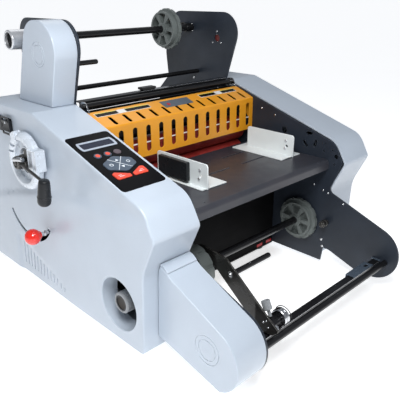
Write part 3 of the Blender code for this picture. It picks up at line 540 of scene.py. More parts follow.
def bake(obj):
    """Turn an object's modifiers into its own mesh."""
    graph = bpy.context.evaluated_depsgraph_get()
    mesh = bpy.data.meshes.new_from_object(obj.evaluated_get(graph))
    obj.modifiers.clear()
    obj.data = mesh
    return obj


def boolean(obj, meshes, operation, solver="EXACT"):
    """Cut or join with one or more meshes."""
    operands = [thing("operand", mesh) for mesh in meshes]
    for operand in operands:
        modifier = obj.modifiers.new("boolean", "BOOLEAN")
        modifier.operation = operation
        modifier.solver = solver
        modifier.object = operand
    bake(obj)
    for operand in operands:
        bpy.data.objects.remove(operand, do_unlink=True)
    return obj


def cut(obj, *meshes):
    """Remove meshes from an object."""
    return boolean(obj, meshes, "DIFFERENCE")


def carve(obj, *meshes):
    """Remove meshes from a thin shell, with the solver that keeps its inner skin."""
    return boolean(obj, meshes, "DIFFERENCE", "MANIFOLD")


def join(obj, *meshes):
    """Add meshes to an object."""
    return boolean(obj, meshes, "UNION")


def soften(obj, width):
    """Round an object's sharp edges."""
    modifier = obj.modifiers.new("edges", "BEVEL")
    modifier.width = width * MM
    modifier.segments = 3
    modifier.limit_method = "ANGLE"
    modifier.angle_limit = math.radians(32)
    modifier.use_clamp_overlap = True
    modifier.miter_outer = "MITER_ARC"
    return bake(obj)


def smooth(obj, angle=38.0, weighted=True):
    """Shade an object smooth, with its corners kept sharp."""
    mesh = obj.data
    mesh.shade_smooth()
    mesh.set_sharp_from_angle(angle=math.radians(angle))
    if weighted:
        modifier = obj.modifiers.new("normals", "WEIGHTED_NORMAL")
        modifier.keep_sharp = True
    return obj


def painted(obj, paint):
    """Give an object one material."""
    obj.data.materials.clear()
    obj.data.materials.append(paint)


def finished(obj, paint, body, replaced=(), edge=0.0, angle=38.0, weighted=True):
    """Edges, shading, material, body and the CAD nodes that a piece stands for."""
    if edge:
        soften(obj, edge)
    smooth(obj, angle, weighted)
    painted(obj, paint)
    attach(obj, body)
    if replaced:
        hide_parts(*replaced)
    return obj


def piece(name, mesh, paint, body, replaced=(), edge=0.0, cuts=(), joins=()):
    """A finished piece in one call."""
    obj = thing(name, mesh)
    if joins:
        join(obj, *joins)
    if cuts:
        cut(obj, *cuts)
    return finished(obj, paint, body, replaced, edge)


def keep(node, paint, edge=0.3):
    """Show a CAD node as it is, with rounded edges and a finish."""
    obj = frame["nodes"][node]
    weld = obj.modifiers.new("weld", "WELD")
    weld.merge_threshold = 1e-6
    modifier = obj.modifiers.new("edges", "BEVEL")
    modifier.width = edge * MM
    modifier.segments = 2
    modifier.limit_method = "ANGLE"
    modifier.angle_limit = math.radians(40)
    modifier.harden_normals = True
    painted(obj, paint)


def screw_mesh(centre, axis, radius, height):
    """A pan-head screw with a round recess, standing on its centre point along the axis."""
    profile = [(0, -0.6), (radius, -0.6), (radius, height * 0.45), (radius * 0.82, height * 0.85)]
    profile += [(radius * 0.45, height), (radius * 0.30, height * 0.98)]
    profile += [(radius * 0.28, height * 0.35), (0, height * 0.3)]
    return turned_mesh(profile, centre, axis, 24)


def screws(name, places, axis, paint, body, radius, height):
    """A set of screws on one body."""
    return piece(name, [screw_mesh(place, axis, radius, height) for place in places], paint, body)


def tilted(x, y, z, angle):
    """A frame at a point, tilted back about X by an angle in radians."""
    return Matrix.Translation(Vector((x, y, z)) * MM) @ Matrix.Rotation(angle, 4, "X")


def slope_frame(x, y):
    """A frame on the cover's front slope: u along X, v up the slope, w out of it."""
    return tilted(x, y, COVER_TOP + (y - KNEE_Y) * SLOPE_RISE, math.atan(SLOPE_RISE))


def interpolated(points, at):
    """Read a curve given as rising (position, value) pairs."""
    if at <= points[0][0]:
        return points[0][1]
    for (a, first), (b, second) in zip(points, points[1:]):
        if at <= b:
            return first + (second - first) * (at - a) / (b - a)
    return points[-1][1]


def eased(value):
    """A smooth step from 0 to 1."""
    value = min(1.0, max(0.0, value))
    return value * value * (3 - 2 * value)


# --------------------------------------------------------------------- plates

def plate_outline(left):
    """The steel side plate: body, tower above it and arm in front; the left tower is the narrower one."""
    tower_rear = [(249, 368, 12), (257, 435, 60)]
    if left:
        tower_rear = [(262, 368, 14), (213, 368, 12), (227, 470, 60)]
    points = rounded([(288, PLATE_BOTTOM, 4), (288, 330, 8)] + tower_rear + [
        (222, 528, 34), (-5, 529, 46), (45, 379, 6), (KNEE_Y, 377, 0), (-261, 283, 30),
        (-281, 244, 6), (-256, 181, 12), (-300, 148, 0),
    ])
    points.pop()  # the last corner only sets the direction of the one before it
    points += arc(ARM_TIP, ARM_TIP_RADIUS, 112, 262)
    return points + [(-331, 22), (-268, 44), (-252, 45), (-248, PLATE_BOTTOM)]


def plate_holes():
    """The bearing and shaft holes that both plates have."""
    lift_top = (HEAT_UPPER.x, HEAT_UPPER.y + LIFT_SLOT)
    return [
        circle(HEAT_LOWER, BEARING_BORE),
        slot(HEAT_UPPER, lift_top, 2 * BEARING_BORE),
        circle(axis_of("pull_lower_spin").yz, BEARING_BORE),
        circle(axis_of("pull_upper_spin").yz, BEARING_BORE),
        circle(UPPER_IDLER, 4.0, 24),
        circle(FRONT_IDLER, 5.0, 24),
        circle(LOWER_SHAFT, SHAFT_RADIUS + 1.0),
        circle(UPPER_SHAFT, SHAFT_RADIUS + 1.0),
    ]


def right_plate_openings():
    """The openings for the second control set, which the right plate is punched for."""
    holes = [circle(TOWER_HUB, 8.5, 24), circle((-131, 289), 7.5, 24), circle((-265, 256), 5.0, 20)]
    ring = (-199, 279)
    for middle in (80, 200, 320):
        holes.append(arc_slot(ring, 15.0, 7.0, middle - 30, middle + 30))
    for place in ((-256, 268), (-262, 238), (-236, 262), (-236, 278)):
        holes.append(circle(place, 2.2, 12))
    return holes


def side_plates():
    """The two steel side plates, notched where the guard's hinge rod passes their edge."""
    for side, low, high in (("left", -PLATE_OUTER, -PLATE_INNER), ("right", PLATE_INNER, PLATE_OUTER)):
        loops = [plate_outline(side == "left")] + plate_holes()
        if side == "right":
            loops += right_plate_openings()
        notch = prism_mesh([circle(HINGE_ROD, 5.5, 32)], low - 1, high + 1)
        mesh = prism_mesh(loops, low, high)
        node = f"side_plate_{side}"
        piece(f"{node}_steel", mesh, PLATE_PAINT, "frame", [node], edge=0.5, cuts=[notch])


def plate_fasteners():
    """Screws, rivets and pins on the inner faces of the side plates."""
    right_screws = [(75, 486), (88, 461), (62, 461), (-218, 185), (-241, 177), (-254, 174), (-292, 160),
                    (-104, 318), (-67, 328)]
    left_screws = [(-104, 318), (-67, 328), (153, 356), (70, 359)]
    rivets = [(153, 373), (153, 356), (71, 373), (70, 359), (-247, 63), (-251, 48)]
    for name, x, spots, axis, paint, radius, height in (
        ("plate_screws_right", PLATE_INNER, right_screws, TO_LEFT, STEEL, 2.2, 1.0),
        ("plate_rivets_right", PLATE_INNER, rivets, TO_LEFT, BRUSHED_STEEL, 2.8, 1.4),
        ("plate_screws_left", -PLATE_INNER, left_screws, ALONG_X, STEEL, 2.2, 1.0),
    ):
        screws(name, [(x, y, z) for y, z in spots], axis, paint, "frame", radius, height)
    for name, y, z in (("upper", 183, 495), ("lower", -256, 107)):
        profile = stepped([(0, 6, 6.4), (6, 8, 7.6), (8, 16, 6.4), (16, 18, 7.4), (18, 22, 4.2)])
        mesh = turned_mesh(profile, (PLATE_INNER, y, z), TO_LEFT, 32)
        piece(f"{name}_spring_pin", mesh, GUNMETAL, "frame", edge=0.5)
    profile = [(0, 0), (8.2, 0), (8.2, -2.4), (3.2, -2.4), (3.2, -0.8), (0, -0.8)]
    mesh = turned_mesh(profile, (PLATE_INNER + 3, *TOWER_HUB), TO_LEFT)
    piece("tower_hub_insert", mesh, DARK_RED, "frame")


def base_and_feet():
    """The base pan under both side plates, and its four rubber feet."""
    low, high = span("base_pan")
    vents = [slot((-120 + 30 * i, y - 22), (-120 + 30 * i, y + 22), 7) for i in range(9) for y in (40, 120)]
    mesh = prism_mesh([panel(low.x, low.y, high.x, high.y, 4)] + vents, low.z, high.z, LEVEL)
    piece("base_pan_sheet", mesh, BLACK_PAINT, "frame", ["base_pan"], edge=0.4)
    for end in ("front", "rear"):
        for side in ("left", "right"):
            node = f"foot_{end}_{side}"
            low, high = span(node)
            profile = [(0, 0), (4, 0), (4, 1.0), (9.5, 1.0), (9.5, 0), (14.5, 0), (16, 1.5), (15.2, 4.2),
                       (12.6, high.z), (0, high.z)]
            mesh = turned_mesh(profile, ((low.x + high.x) / 2, (low.y + high.y) / 2, 0), UP)
            piece(f"{node}_rubber", mesh, RUBBER, "frame", [node], edge=0.4)


def cross_panels():
    """The rear panel with its vents and screws, and the black apron under the feed table."""
    inside = span("rear_panel")[1].x
    rear = rounded([
        (281, 13, 0), (283, 13, 0), (283, 205, 3), (262, 232, 0), (260.5, 230.8, 0), (281, 204.4, 1),
    ])
    vents = []
    for i in range(14):
        for z in (60, 95):
            x = -156 + 24 * i
            vents.append(prism_mesh([slot((x, z - 11), (x, z + 11), 5)], -290, -275, FRONT))
    mesh = prism_mesh([rear], -inside, inside)
    piece("rear_panel_sheet", mesh, PLATE_PAINT, "frame", ["rear_panel"], edge=0.4, cuts=vents)
    places = [(x, 283, z) for x in (-190, 0, 190) for z in (24, 190)]
    screws("rear_panel_screws", places, (0, 1, 0), STEEL, "frame", 3.2, 1.6)
    apron = rounded([
        (-112, 13, 0), (-110.5, 13, 0), (-110.5, 226, 2), (-52, 236, 0), (-52.3, 237.5, 0), (-112, 227.5, 3),
    ])
    mesh = prism_mesh([apron], -inside, inside)
    # The apron's near-black, sheen-free colour is partly painted shade of the film bay.
    piece("front_apron_sheet", mesh, DEEP_BLACK_AND_SHADE, "frame", ["front_apron"], edge=0.4)
    marks = [box_mesh((x, -112.5, 14), (x + 19, -111.8, 21)) for x in (148, 181)]
    piece("apron_marks", marks, MARK_RED, "frame", edge=0.2)


# --------------------------------------------------------------------- covers

def cover_outline():
    """The side cover's outline, the same on both sides."""
    return rounded([
        (284, COVER_BOTTOM, 12), (BODY_REAR, 318, 22), (252, 371, 40), (222, COVER_TOP, 30),
        (KNEE_Y, COVER_TOP, 14), (*SLOPE_END, 45), (-287, 243, 11), (-256, 178, 70),
        (BODY_FRONT, COVER_BOTTOM, 10),
    ])


def slope_height(y):
    """Height of the cover's front slope, or of its flat top."""
    return min(COVER_TOP, COVER_TOP + (y - KNEE_Y) * SLOPE_RISE)


# (y, z) points along the relief of the left cover's side, and how deep each part of it is
CREASE_TOP = (
    (-287, 284), (-241, 278), (-191, 271), (-123, 268), (-46, 262), (31, 245), (100, 224), (292, 160),
)
CREASE_FOOT = (
    (-287, 262), (-251, 257), (-171, 246), (-119, 243), (-66, 239), (14, 226), (83, 216), (191, 189),
    (292, 150),
)
CREASE_DEPTH = 5.4
SCOOP_TOP = ((-30, 52), (-13, 60), (21, 73), (58, 80), (95, 91), (133, 104), (165, 112))
SCOOP_END = 165.0
SCOOP_DEPTH = 3.2


def crease_depth(y, z):
    """How far the left cover's side is set in above its crease."""
    top, foot = interpolated(CREASE_TOP, y), interpolated(CREASE_FOOT, y)
    above = eased((z - foot) / (top - foot))
    below_slope = eased((slope_height(y) - z) / 34)
    rear_fade = eased((285 - y) / 120)
    return CREASE_DEPTH * above * rear_fade * (0.22 + 0.78 * below_slope)


def scoop_taper(y):
    """The louvred corner's depth grows from 0 at its front to 1."""
    return min(1.0, max(0.0, (y + 34) / 150))


def scoop_depth(y, z):
    """How far the louvred corner at the foot of the left cover is set in."""
    edge = eased((SCOOP_END - y) / 9)
    below = eased((interpolated(SCOOP_TOP, y) + 5 - z) / 7)
    return SCOOP_DEPTH * edge * scoop_taper(y) * below


def relieve(bm, depth, inward):
    """Cut a cover's skin into a grid, then move its side inward by depth(y, z)."""
    low = [min(v.co[i] for v in bm.verts) for i in range(3)]
    high = [max(v.co[i] for v in bm.verts) for i in range(3)]
    for i in (1, 2):
        count = int((high[i] - low[i]) / (RELIEF_GRID * MM))
        normal = Vector((0, i == 1, i == 2))
        for k in range(1, count):
            place = Vector((0, 0, 0))
            place[i] = low[i] + (high[i] - low[i]) * k / count
            everything = bm.verts[:] + bm.edges[:] + bm.faces[:]
            bmesh.ops.bisect_plane(bm, geom=everything, dist=1e-7, plane_co=place, plane_no=normal)
    for vert in bm.verts:
        near = eased((abs(vert.co.x / MM) - RELIEF_START) / RELIEF_RUN)
        vert.co.x += math.copysign(near * depth(vert.co.y / MM, vert.co.z / MM) * MM, inward)


def shell_mesh(outline, inner_x, outer_x, edge, depth=None):
    """A cover's skin, open at inner_x, with a rounded outer rim and an optional relief in its side."""
    mesh = prism_mesh([outline], min(inner_x, outer_x), max(inner_x, outer_x))
    bm = bmesh.new()
    bm.from_mesh(mesh)
    outer = outer_x * MM
    rim = [e for e in bm.edges if all(abs(v.co.x - outer) < 1e-6 for v in e.verts)]
    bmesh.ops.bevel(bm, geom=rim, offset=edge * MM, segments=5, profile=0.5, affect="EDGES",
                    clamp_overlap=True)
    if depth:
        relieve(bm, depth, -outer_x)
    inner = inner_x * MM
    opening = [f for f in bm.faces if all(abs(v.co.x - inner) < 1e-6 for v in f.verts)]
    bmesh.ops.delete(bm, geom=opening, context="FACES")
    bm.to_mesh(mesh)
    bm.free()
    return mesh


def shell(name, *skin):
    """A moulded cover with an even wall."""
    obj = thing(name, shell_mesh(*skin))
    wall = obj.modifiers.new("wall", "SOLIDIFY")
    wall.thickness = COVER_WALL * MM
    wall.offset = -1
    wall.use_even_offset = True
    return bake(obj)


def louvre_cutters():
    """Thirteen slanting grooves in the louvred corner, each longer than the one before."""
    tops = [(-13 + 12.6 * i, interpolated(SCOOP_TOP, -13 + 12.6 * i) - 7) for i in range(13)]
    cutters = []
    for i, (y, z) in enumerate(tops):
        length = 7 + 3.4 * i
        foot = (y + 0.10 * length, max(z - length, COVER_BOTTOM + 9))
        reach = -HALF_WIDTH + SCOOP_DEPTH * scoop_taper(y)
        cutters.append(prism_mesh([slot((y, z), foot, 3.0, 30)], reach - 6, reach + 1.5))
    return cutters


def cover_cutters():
    """The openings in the left cover."""
    outside, inside = -HALF_WIDTH - 12, -HALF_WIDTH + 12
    width, length = (size + 0.6 for size in PANEL_SIZE)
    first, last = TENSION_SLOT
    track = arc_slot(TENSION_AXIS, TENSION_RADIUS, 9.0, -90 - last, -90 - first)
    panel = prism_mesh([rectangle((0, 0), (width, length), 6.3)], -8, 8, slope_frame(PANEL_X, PANEL_Y))
    switch, inlet = span("power_switch"), span("power_inlet")
    windows = []
    for (low, high), gap, radius in ((switch, 0.4, 2), (inlet, 0.3, 3)):
        centre = ((low.y + high.y) / 2, (low.z + high.z) / 2)
        size = (high.y - low.y + 2 * gap, high.z - low.z + 2 * gap)
        windows.append(prism_mesh([rectangle(centre, size, radius)], outside, inside))
    return [
        prism_mesh([circle(LOWER_SHAFT, RECESS_RADIUS, 96)], outside, inside),
        prism_mesh([circle(PRESSURE_AXIS, 30, 64)], outside, inside),
        prism_mesh([track], outside, inside),
        panel,
        *windows,
    ]


def side_relief(y, z):
    """How far the left cover's side is set in."""
    return max(crease_depth(y, z), scoop_depth(y, z))


def side_covers():
    """The two moulded side covers; the left one carries the controls."""
    left = shell("cover_left", cover_outline(), -COVER_INNER, -HALF_WIDTH, COVER_EDGE, side_relief)
    carve(left, *cover_cutters(), *louvre_cutters())
    finished(left, COVER_PAINT, "frame", ["side_cover_left"], angle=32, weighted=False)
    right = shell("cover_right", cover_outline(), COVER_INNER, HALF_WIDTH, COVER_EDGE)
    finished(right, COVER_PAINT, "frame", ["side_cover_right"], angle=32)


def shaft_recess():
    """The dish round the lower shaft's knob, with a rolled rim."""
    rim = HALF_WIDTH
    profile = [(RECESS_RADIUS + 1.6, rim - 0.4)]
    profile += [(RECESS_RADIUS - 1.2 + 2.0 * math.cos(a), rim - 1.3 + 1.3 * math.sin(a))
                for a in (1.2, 1.57, 2.1, 2.7, 3.1)]
    for i in range(9):
        share = i / 8
        profile.append((46.8 - 3.4 * eased(share), rim - 3 - 25.0 * share))
    profile += [(43.2, rim - 29.5), (45.2, rim - 30.0), (RECESS_RADIUS + 1.0, rim - 6)]
    mesh = turned_mesh(profile, (0, *LOWER_SHAFT), TO_LEFT, 96, closed=True)
    piece("shaft_recess", mesh, COVER_PAINT, "frame")
    bearing = turned_mesh(
        [(SHAFT_RADIUS + 0.6, 208), (24, 208), (24, 211), (13, 212.5), (13, 221), (SHAFT_RADIUS + 0.6, 221)],
        (0, *LOWER_SHAFT), TO_LEFT, 48, closed=True)
    piece("shaft_bearing", bearing, GUNMETAL, "frame", edge=0.4)


def ring_groove(centre, radius, x, width=1.0, depth=0.9):
    """A cutter for a thin round groove in a cover that faces left."""
    profile = band(radius - width / 2, radius + width / 2, -depth, 4)
    return turned_mesh(profile, (-x, *centre), TO_LEFT, 72, closed=True)


def tower_and_arm_covers():
    """The light shells outside the left tower and the left arm."""
    foot, top = COVER_TOP + 0.3, TOWER_TOP - 1
    outline = rounded([(169, foot, 2), (113, top, 45), (0, top, 50), (46, foot, 2)])
    tower = shell("tower_shell", outline, -COVER_INNER, -TOWER_COVER_OUTER, 2.4)
    face = TOWER_COVER_OUTER
    carve(tower, ring_groove(TOWER_HUB, 22, face), ring_groove(TOWER_HUB, 16.5, face))
    finished(tower, COVER_PAINT, "frame", ["tower_cover"], angle=32)

    outline = [(-262.4, 186), (-270, 184), (-288, 172)]
    outline += arc((-369, 76), ARM_TIP_RADIUS - 1, 112, 250)
    outline += [(-252, 55), (-255.8, 150), (-256.8, 165), (-258.8, 178)]
    arm = shell("arm_shell", outline, -COVER_INNER, -ARM_COVER_OUTER, 2.0)
    face = ARM_COVER_OUTER
    carve(arm, ring_groove(ARM_HUB, 24, face), ring_groove(ARM_HUB, 17, face))
    finished(arm, COVER_PAINT, "frame", ["arm_cover"], angle=32)
    lip = [(-261.8, 187.0), (-270, 185), (-279, 179), (-279, 181.2), (-270.5, 187.6), (-262.4, 189.6)]
    mesh = prism_mesh([lip], -ARM_COVER_OUTER + 0.5, -COVER_INNER - 0.5)
    piece("arm_lip", mesh, COVER_PAINT, "frame", edge=0.8)


# ------------------------------------------------------------ feed table, guides

def feed_table():
    """The feed table, with a rounded front lip and the slots that the guides slide in."""
    inside = span("feed_table")[1].x
    front, top = TABLE_FRONT, TABLE_TOP
    section = rounded([
        (TABLE_REAR, top, 0), (front, top, 9), (front, top - 20, 0),
        (front + 2, top - 20, 0), (front + 2, top - 2, 7), (TABLE_REAR, top - 2, 0),
    ])
    slots = []
    for row in SLOT_ROWS:
        for start, end in ((-186, 18), (58, 190)):
            slots.append(prism_mesh([slot((start, row), (end, row), 5.0)], top - 7, top + 5, LEVEL))
    for x, y in ((-173, -243), (-144, -232), (173, -243)):
        slots.append(prism_mesh([circle((x, y), 1.6, 16)], top - 7, top + 5, LEVEL))
    mesh = prism_mesh([section], -inside, inside)
    piece("feed_table_sheet", mesh, TABLE_PAINT, "frame", ["feed_table"], edge=0.35, cuts=slots)


def paper_guide(side, fence, base):
    """An L-shaped guide: a base plate with lugs, an upright fence (x, front, rear) and two small screws."""
    low = TABLE_TOP + 0.3
    x, front, rear = fence
    upright = rounded([(front, low, 0), (rear, low, 0), (rear, 293, 6), (front, 293, 6)])
    joins = [prism_mesh([upright], x, x + 3)]
    lug = (base[0] + base[2]) / 2
    for row in SLOT_ROWS:
        joins.append(box_mesh((lug - 6, row - 2, TABLE_TOP - 5), (lug + 6, row + 2, low + 0.5)))
    hole_y = front + 17
    hole = prism_mesh([circle((hole_y, 268), 3.0, 20)], x - 4, x + 8)
    mesh = prism_mesh([panel(*base, 2)], low, low + 2.0, LEVEL)
    name, body = f"paper_guide_{side}", f"guide_{side}"
    piece(f"{name}_sheet", mesh, GUIDE_PAINT, body, [name], edge=0.5, cuts=[hole], joins=joins)
    places = [(x, hole_y + 2, 279), (x, hole_y + 4, 262)]
    screws(f"{name}_screws", places, TO_LEFT, BRUSHED_STEEL, body, 3.0, 1.4)


def paper_guides():
    """The two guides on the table, and the black pad that holds the left one."""
    paper_guide("left", (-101, -196, -61), (-112, -194, -48, -52))
    paper_guide("right", (163, -186, -61), (128, -184, 193, -46))
    mesh = prism_mesh([rounded([(-152, 253, 2), (-74, 253, 2), (-74, 289, 2), (-152, 289, 2)])], -110, -101.3)
    piece("guide_magnet_pad", mesh, GRIP_PLASTIC, "guide_left", ["guide_magnet"], edge=1.2)


# ---------------------------------------------------------------- safety guard

def guard_frame(x, along):
    """A frame on the guard's sloping top: u along X, v up the slope, w out of it."""
    rear_y, rear_z = GUARD_TOP_REAR
    angle = math.atan2(rear_z - GUARD_FRONT_TOP, rear_y - GUARD_LOW.y)
    y = GUARD_LOW.y + along * math.cos(angle)
    z = GUARD_FRONT_TOP + along * math.sin(angle)
    return tilted(x, y, z, angle)


def guard_ears():
    """The two plates that hang the guard on its hinge rod."""
    rear_y, rear_z = GUARD_TOP_REAR
    ear = rounded([
        (rear_y - 5, rear_z - 4, 1), (rear_y + 6, rear_z - 4, 2), (36, 374, 5), (36, 386, 6), (18, 386, 8),
    ], 15)
    for side, inner in (("left", -GUARD_HIGH.x + 2.2), ("right", GUARD_HIGH.x - 4.2)):
        mesh = prism_mesh([ear, circle(HINGE_ROD, 5.3, 32)], inner, inner + 2)
        piece(f"hinge_ear_{side}", mesh, STEEL, "guard", edge=0.3)


def guard_sheet():
    """The guard's slotted sheet, folded over its top, with a cheek at each end."""
    rear_y, rear_z = GUARD_TOP_REAR
    front, half, sheet = GUARD_LOW.y, GUARD_HIGH.x, GUARD_SHEET
    section = rounded([
        (front, GUARD_LOW.z, 0), (front + sheet, GUARD_LOW.z, 0), (front + sheet, GUARD_FRONT_TOP - 0.6, 1.6),
        (rear_y, rear_z - sheet, 0), (rear_y, rear_z, 0), (front, GUARD_FRONT_TOP, 3.2),
    ], 12)
    cheek = rounded([
        (front + 0.5, 300, 0), (front + 8, 300, 3), (rear_y + 4, rear_z - 12, 4), (rear_y + 2, rear_z - 1, 2),
        (rear_y - 1, rear_z - 0.6, 0), (front + 0.5, GUARD_FRONT_TOP - 0.6, 2.6),
    ], 15)
    joins = [prism_mesh([cheek], inner, inner + 2) for inner in (-half, half - 2)]
    slots = []
    for i in range(GUARD_SLOTS):
        x = GUARD_SLOT_FIRST + i * GUARD_SLOT_PITCH
        slots.append(prism_mesh([slot((x, 293), (x, 333), 11.5)], -front - 6, -front + 6, FRONT))
        slots.append(prism_mesh([slot((x - 4, -32), (x - 4, -13), 8.0)], 340, 380, LEVEL))
    piece("safety_guard_sheet", prism_mesh([section], -half, half), GUARD_PAINT, "guard", ["safety_guard"],
          edge=0.4, cuts=slots, joins=joins)


def label_mesh(x, along, size, radius, low, high, rise=0.0):
    """A thin plate on the guard's top, moved up the slope by rise."""
    return prism_mesh([rectangle((0, rise), size, radius)], low, high, guard_frame(x, along))


def guard_labels():
    """Blank labels on the guard's top: black ones with a border and a yellow band, white ones, a blue one."""
    for name, x, width, paint in (
        ("label_black_1", -168, 50, LABEL_BLACK), ("label_white_1", -134.5, 16, LABEL_WHITE),
        ("label_black_2", -96, 60, LABEL_BLACK), ("label_blue", 1, 76, LABEL_BLUE),
        ("label_black_3", 96, 49, LABEL_BLACK), ("label_white_2", 129.5, 17, LABEL_WHITE),
        ("label_black_4", 161, 45, LABEL_BLACK),
    ):
        along, depth = (36.5, 24) if paint is LABEL_BLUE else (42.5, 13)
        plate = label_mesh(x, along, (width, depth), 1.2, 0.05, 0.35)
        if paint is LABEL_BLACK:
            piece(f"guard_{name}_border", plate, LABEL_WHITE, "guard", edge=0.1)
            plate = label_mesh(x, along, (width - 2.2, depth - 2.2), 0.8, 0.2, 0.5)
        piece(f"guard_{name}", plate, paint, "guard", edge=0.1)
        if paint is LABEL_BLACK:
            stripe = label_mesh(x, along, (width - 3, 1.6), 0.3, 0.3, 0.62, depth / 2 - 1.6)
            piece(f"guard_{name}_band", stripe, LABEL_YELLOW, "guard")
    spot = prism_mesh([circle((0, 0), 4.2, 32)], 0.4, 0.95, guard_frame(-22, 35))
    piece("guard_label_spot", spot, MARK_RED, "guard", edge=0.2)


def guard_backing():
    """A thin bar behind the guard's slots, coloured white as a painted highlight, and a black sheet under the
    guard's top as painted shade in the gap before the rear bar.
    """
    # The bar's white colour is a painted highlight: a bright line deep in the slots, where little light
    # reaches.
    bar = prism_mesh([panel(-36.5, 303.2, -34.6, 305.4)], -198, 198)
    piece("scraper_bar", bar, LABEL_WHITE, "frame", edge=0.3)
    # A black sheet between the guard's top and the rear bar: painted shade in that gap.
    shade_sheet = rounded([
        (12.5, 334, 0), (14, 334, 0), (14, 364, 1), (39.6, 364, 0), (39.6, 365.5, 0), (12.5, 365.5, 2),
    ])
    piece("gap_shade_sheet", prism_mesh([shade_sheet], -199, 199), DEEP_BLACK_AND_SHADE, "frame", edge=0.3)


# --------------------------------------------------------------------- rollers

def roller(node, radius, paint, body):
    """A roller with a chamfered sleeve, a stepped core and a journal at each end."""
    low, high = span(node)
    centre = (0, *axis_centre(node))
    sleeve = [(9, -ROLLER_END), (radius - 1.2, -ROLLER_END), (radius, -ROLLER_END + 1.2),
              (radius, ROLLER_END - 1.2), (radius - 1.2, ROLLER_END), (9, ROLLER_END)]
    piece(f"{node}_sleeve", turned_mesh(sleeve, centre, ALONG_X, 96, closed=True), paint, body, [node])
    core = stepped([(low.x, -ROLLER_END, 8.0), (-ROLLER_END, ROLLER_END, 9.2), (ROLLER_END, high.x, 8.0)])
    piece(f"{node}_core", turned_mesh(core, centre, ALONG_X, 48), STEEL, body, edge=0.5)


def rollers():
    """The heated pair that the paper enters, and the pull pair behind it."""
    for pair, radius, paint in (("heat", 28.0, SILICONE), ("pull", 22.0, RUBBER)):
        for level in ("lower", "upper"):
            roller(f"{pair}_roller_{level}", radius, paint, f"{pair}_{level}")


def roller_yoke():
    """The yoke that carries and lifts the upper heated roller."""
    y, z = HEAT_UPPER
    ear = rounded([(y - 11, z - 13, 4), (y + 11, z - 13, 4), (y + 11, 333, 3), (y - 11, 333, 3)])
    hole = circle((y, z), 8.5)
    beam = box_mesh((-194, y - 10.5, 318), (194, y + 10.5, 330))
    mesh = prism_mesh([ear, hole], -200, -192)
    piece("roller_yoke_bar", mesh, DARK_CASTING, "yoke", ["roller_yoke"], edge=0.6,
          joins=[prism_mesh([ear, hole], 192, 200), beam])
    places = [(x, 0, 330) for x in (-150, -50, 50, 150)]
    screws("roller_yoke_screws", places, UP, STEEL, "yoke", 3.5, 2.0)


def drive_train():
    """The motor, its pinion and the gears inside the left cover."""
    keep("drive_gear_lower", GEAR_PLASTIC)
    keep("drive_gear_upper", GEAR_PLASTIC)
    keep("motor_pinion", BRUSHED_STEEL, edge=0.15)
    low, high = span("drive_motor")
    at = axis_of("pinion_spin")
    lengths = [(low.x, low.x + 4, 12), (low.x + 4, -250, 27), (-250, -228, 31), (-228, high.x, 4)]
    mesh = turned_mesh(stepped(lengths), (0, at.y, at.z), ALONG_X, 64)
    piece("drive_motor_can", mesh, BRUSHED_STEEL, "frame", ["drive_motor"], edge=0.8)


# ------------------------------------------------------------- film shafts, rods

def chuck(node, body, at, drum, flange=0.0):
    """A core chuck: a drum on a hub with a web, six vanes and grip notches, and a flange if it is given."""
    low, high = (corner.x for corner in span(node))
    bore = circle(at, SHAFT_RADIUS + 0.4)
    obj = thing(node + "_moulding", prism_mesh([circle(at, drum, 96), circle(at, drum - 4.2, 72)], low, high))
    joins = [
        prism_mesh([circle(at, drum - 3.5, 72), bore], high - 6, high - 3),
        prism_mesh([circle(at, 14.5, 48), bore], low, high - 1),
    ]
    for i in range(6):
        angle = math.radians(60 * i)
        along = Vector((math.cos(angle), math.sin(angle)))
        across = Vector((-along.y, along.x))
        inner, outer = Vector(at) + along * 12, Vector(at) + along * (drum - 2)
        vane = [inner - across * 2.2, outer - across * 6.5, outer + across * 6.5, inner + across * 2.2]
        joins.append(prism_mesh([[tuple(corner) for corner in vane]], low + 1.5, high - 2))
    count, rim, notch_low = 10, drum, low + 7
    if flange:
        joins.append(prism_mesh([circle(at, flange, 96), circle(at, drum - 3, 72)], high - 9, high - 0.5))
        count, rim, notch_low = 12, flange, high - 10
    join(obj, *joins)
    notches = []
    for i in range(count):
        angle = 360 / count * i + 12
        notch = arc_slot(at, rim + 1.0, 5.0, angle - 4.5, angle + 4.5)
        notches.append(prism_mesh([notch], notch_low, high + 1))
    cut(obj, *notches)
    finished(obj, CHUCK_PLASTIC, body, [node], edge=0.5)
    collar = turned_mesh(band(SHAFT_RADIUS + 0.3, 11, low - 3.0, low + 1), (0, *at), ALONG_X, 40, closed=True)
    piece(f"{node}_collar", collar, CHUCK_PLASTIC, body, edge=0.4)


def black_bar(name, node, body, at, steps, sides=40, edge=0.5):
    """A black turned bar along X that stands for a CAD node."""
    piece(name, turned_mesh(stepped(steps), (0, *at), ALONG_X, sides), BLACK_PAINT, body, [node], edge=edge)


def film_shafts():
    """The upper and lower film shafts with their core chucks."""
    black_bar("upper_film_shaft_bar", "upper_film_shaft", "upper_reel", UPPER_SHAFT, [
        (-256, -255, 6.5), (-255, PLATE_INNER - 22, SHAFT_RADIUS),
        (PLATE_INNER - 22, PLATE_INNER - 6, 10.0), (PLATE_INNER - 6, PLATE_OUTER, SHAFT_RADIUS),
    ], 64)
    black_bar("lower_film_shaft_bar", "lower_film_shaft", "lower_reel", LOWER_SHAFT, [
        (-284, -283, 6.5), (-283, PLATE_OUTER, SHAFT_RADIUS),
    ], 64)
    chuck("upper_chuck", "upper_reel", UPPER_SHAFT, 39.0, 45.0)
    chuck("lower_chuck_right", "lower_reel", LOWER_SHAFT, 39.0, 47.0)
    chuck("lower_chuck_left", "lower_reel", LOWER_SHAFT, 45.0)


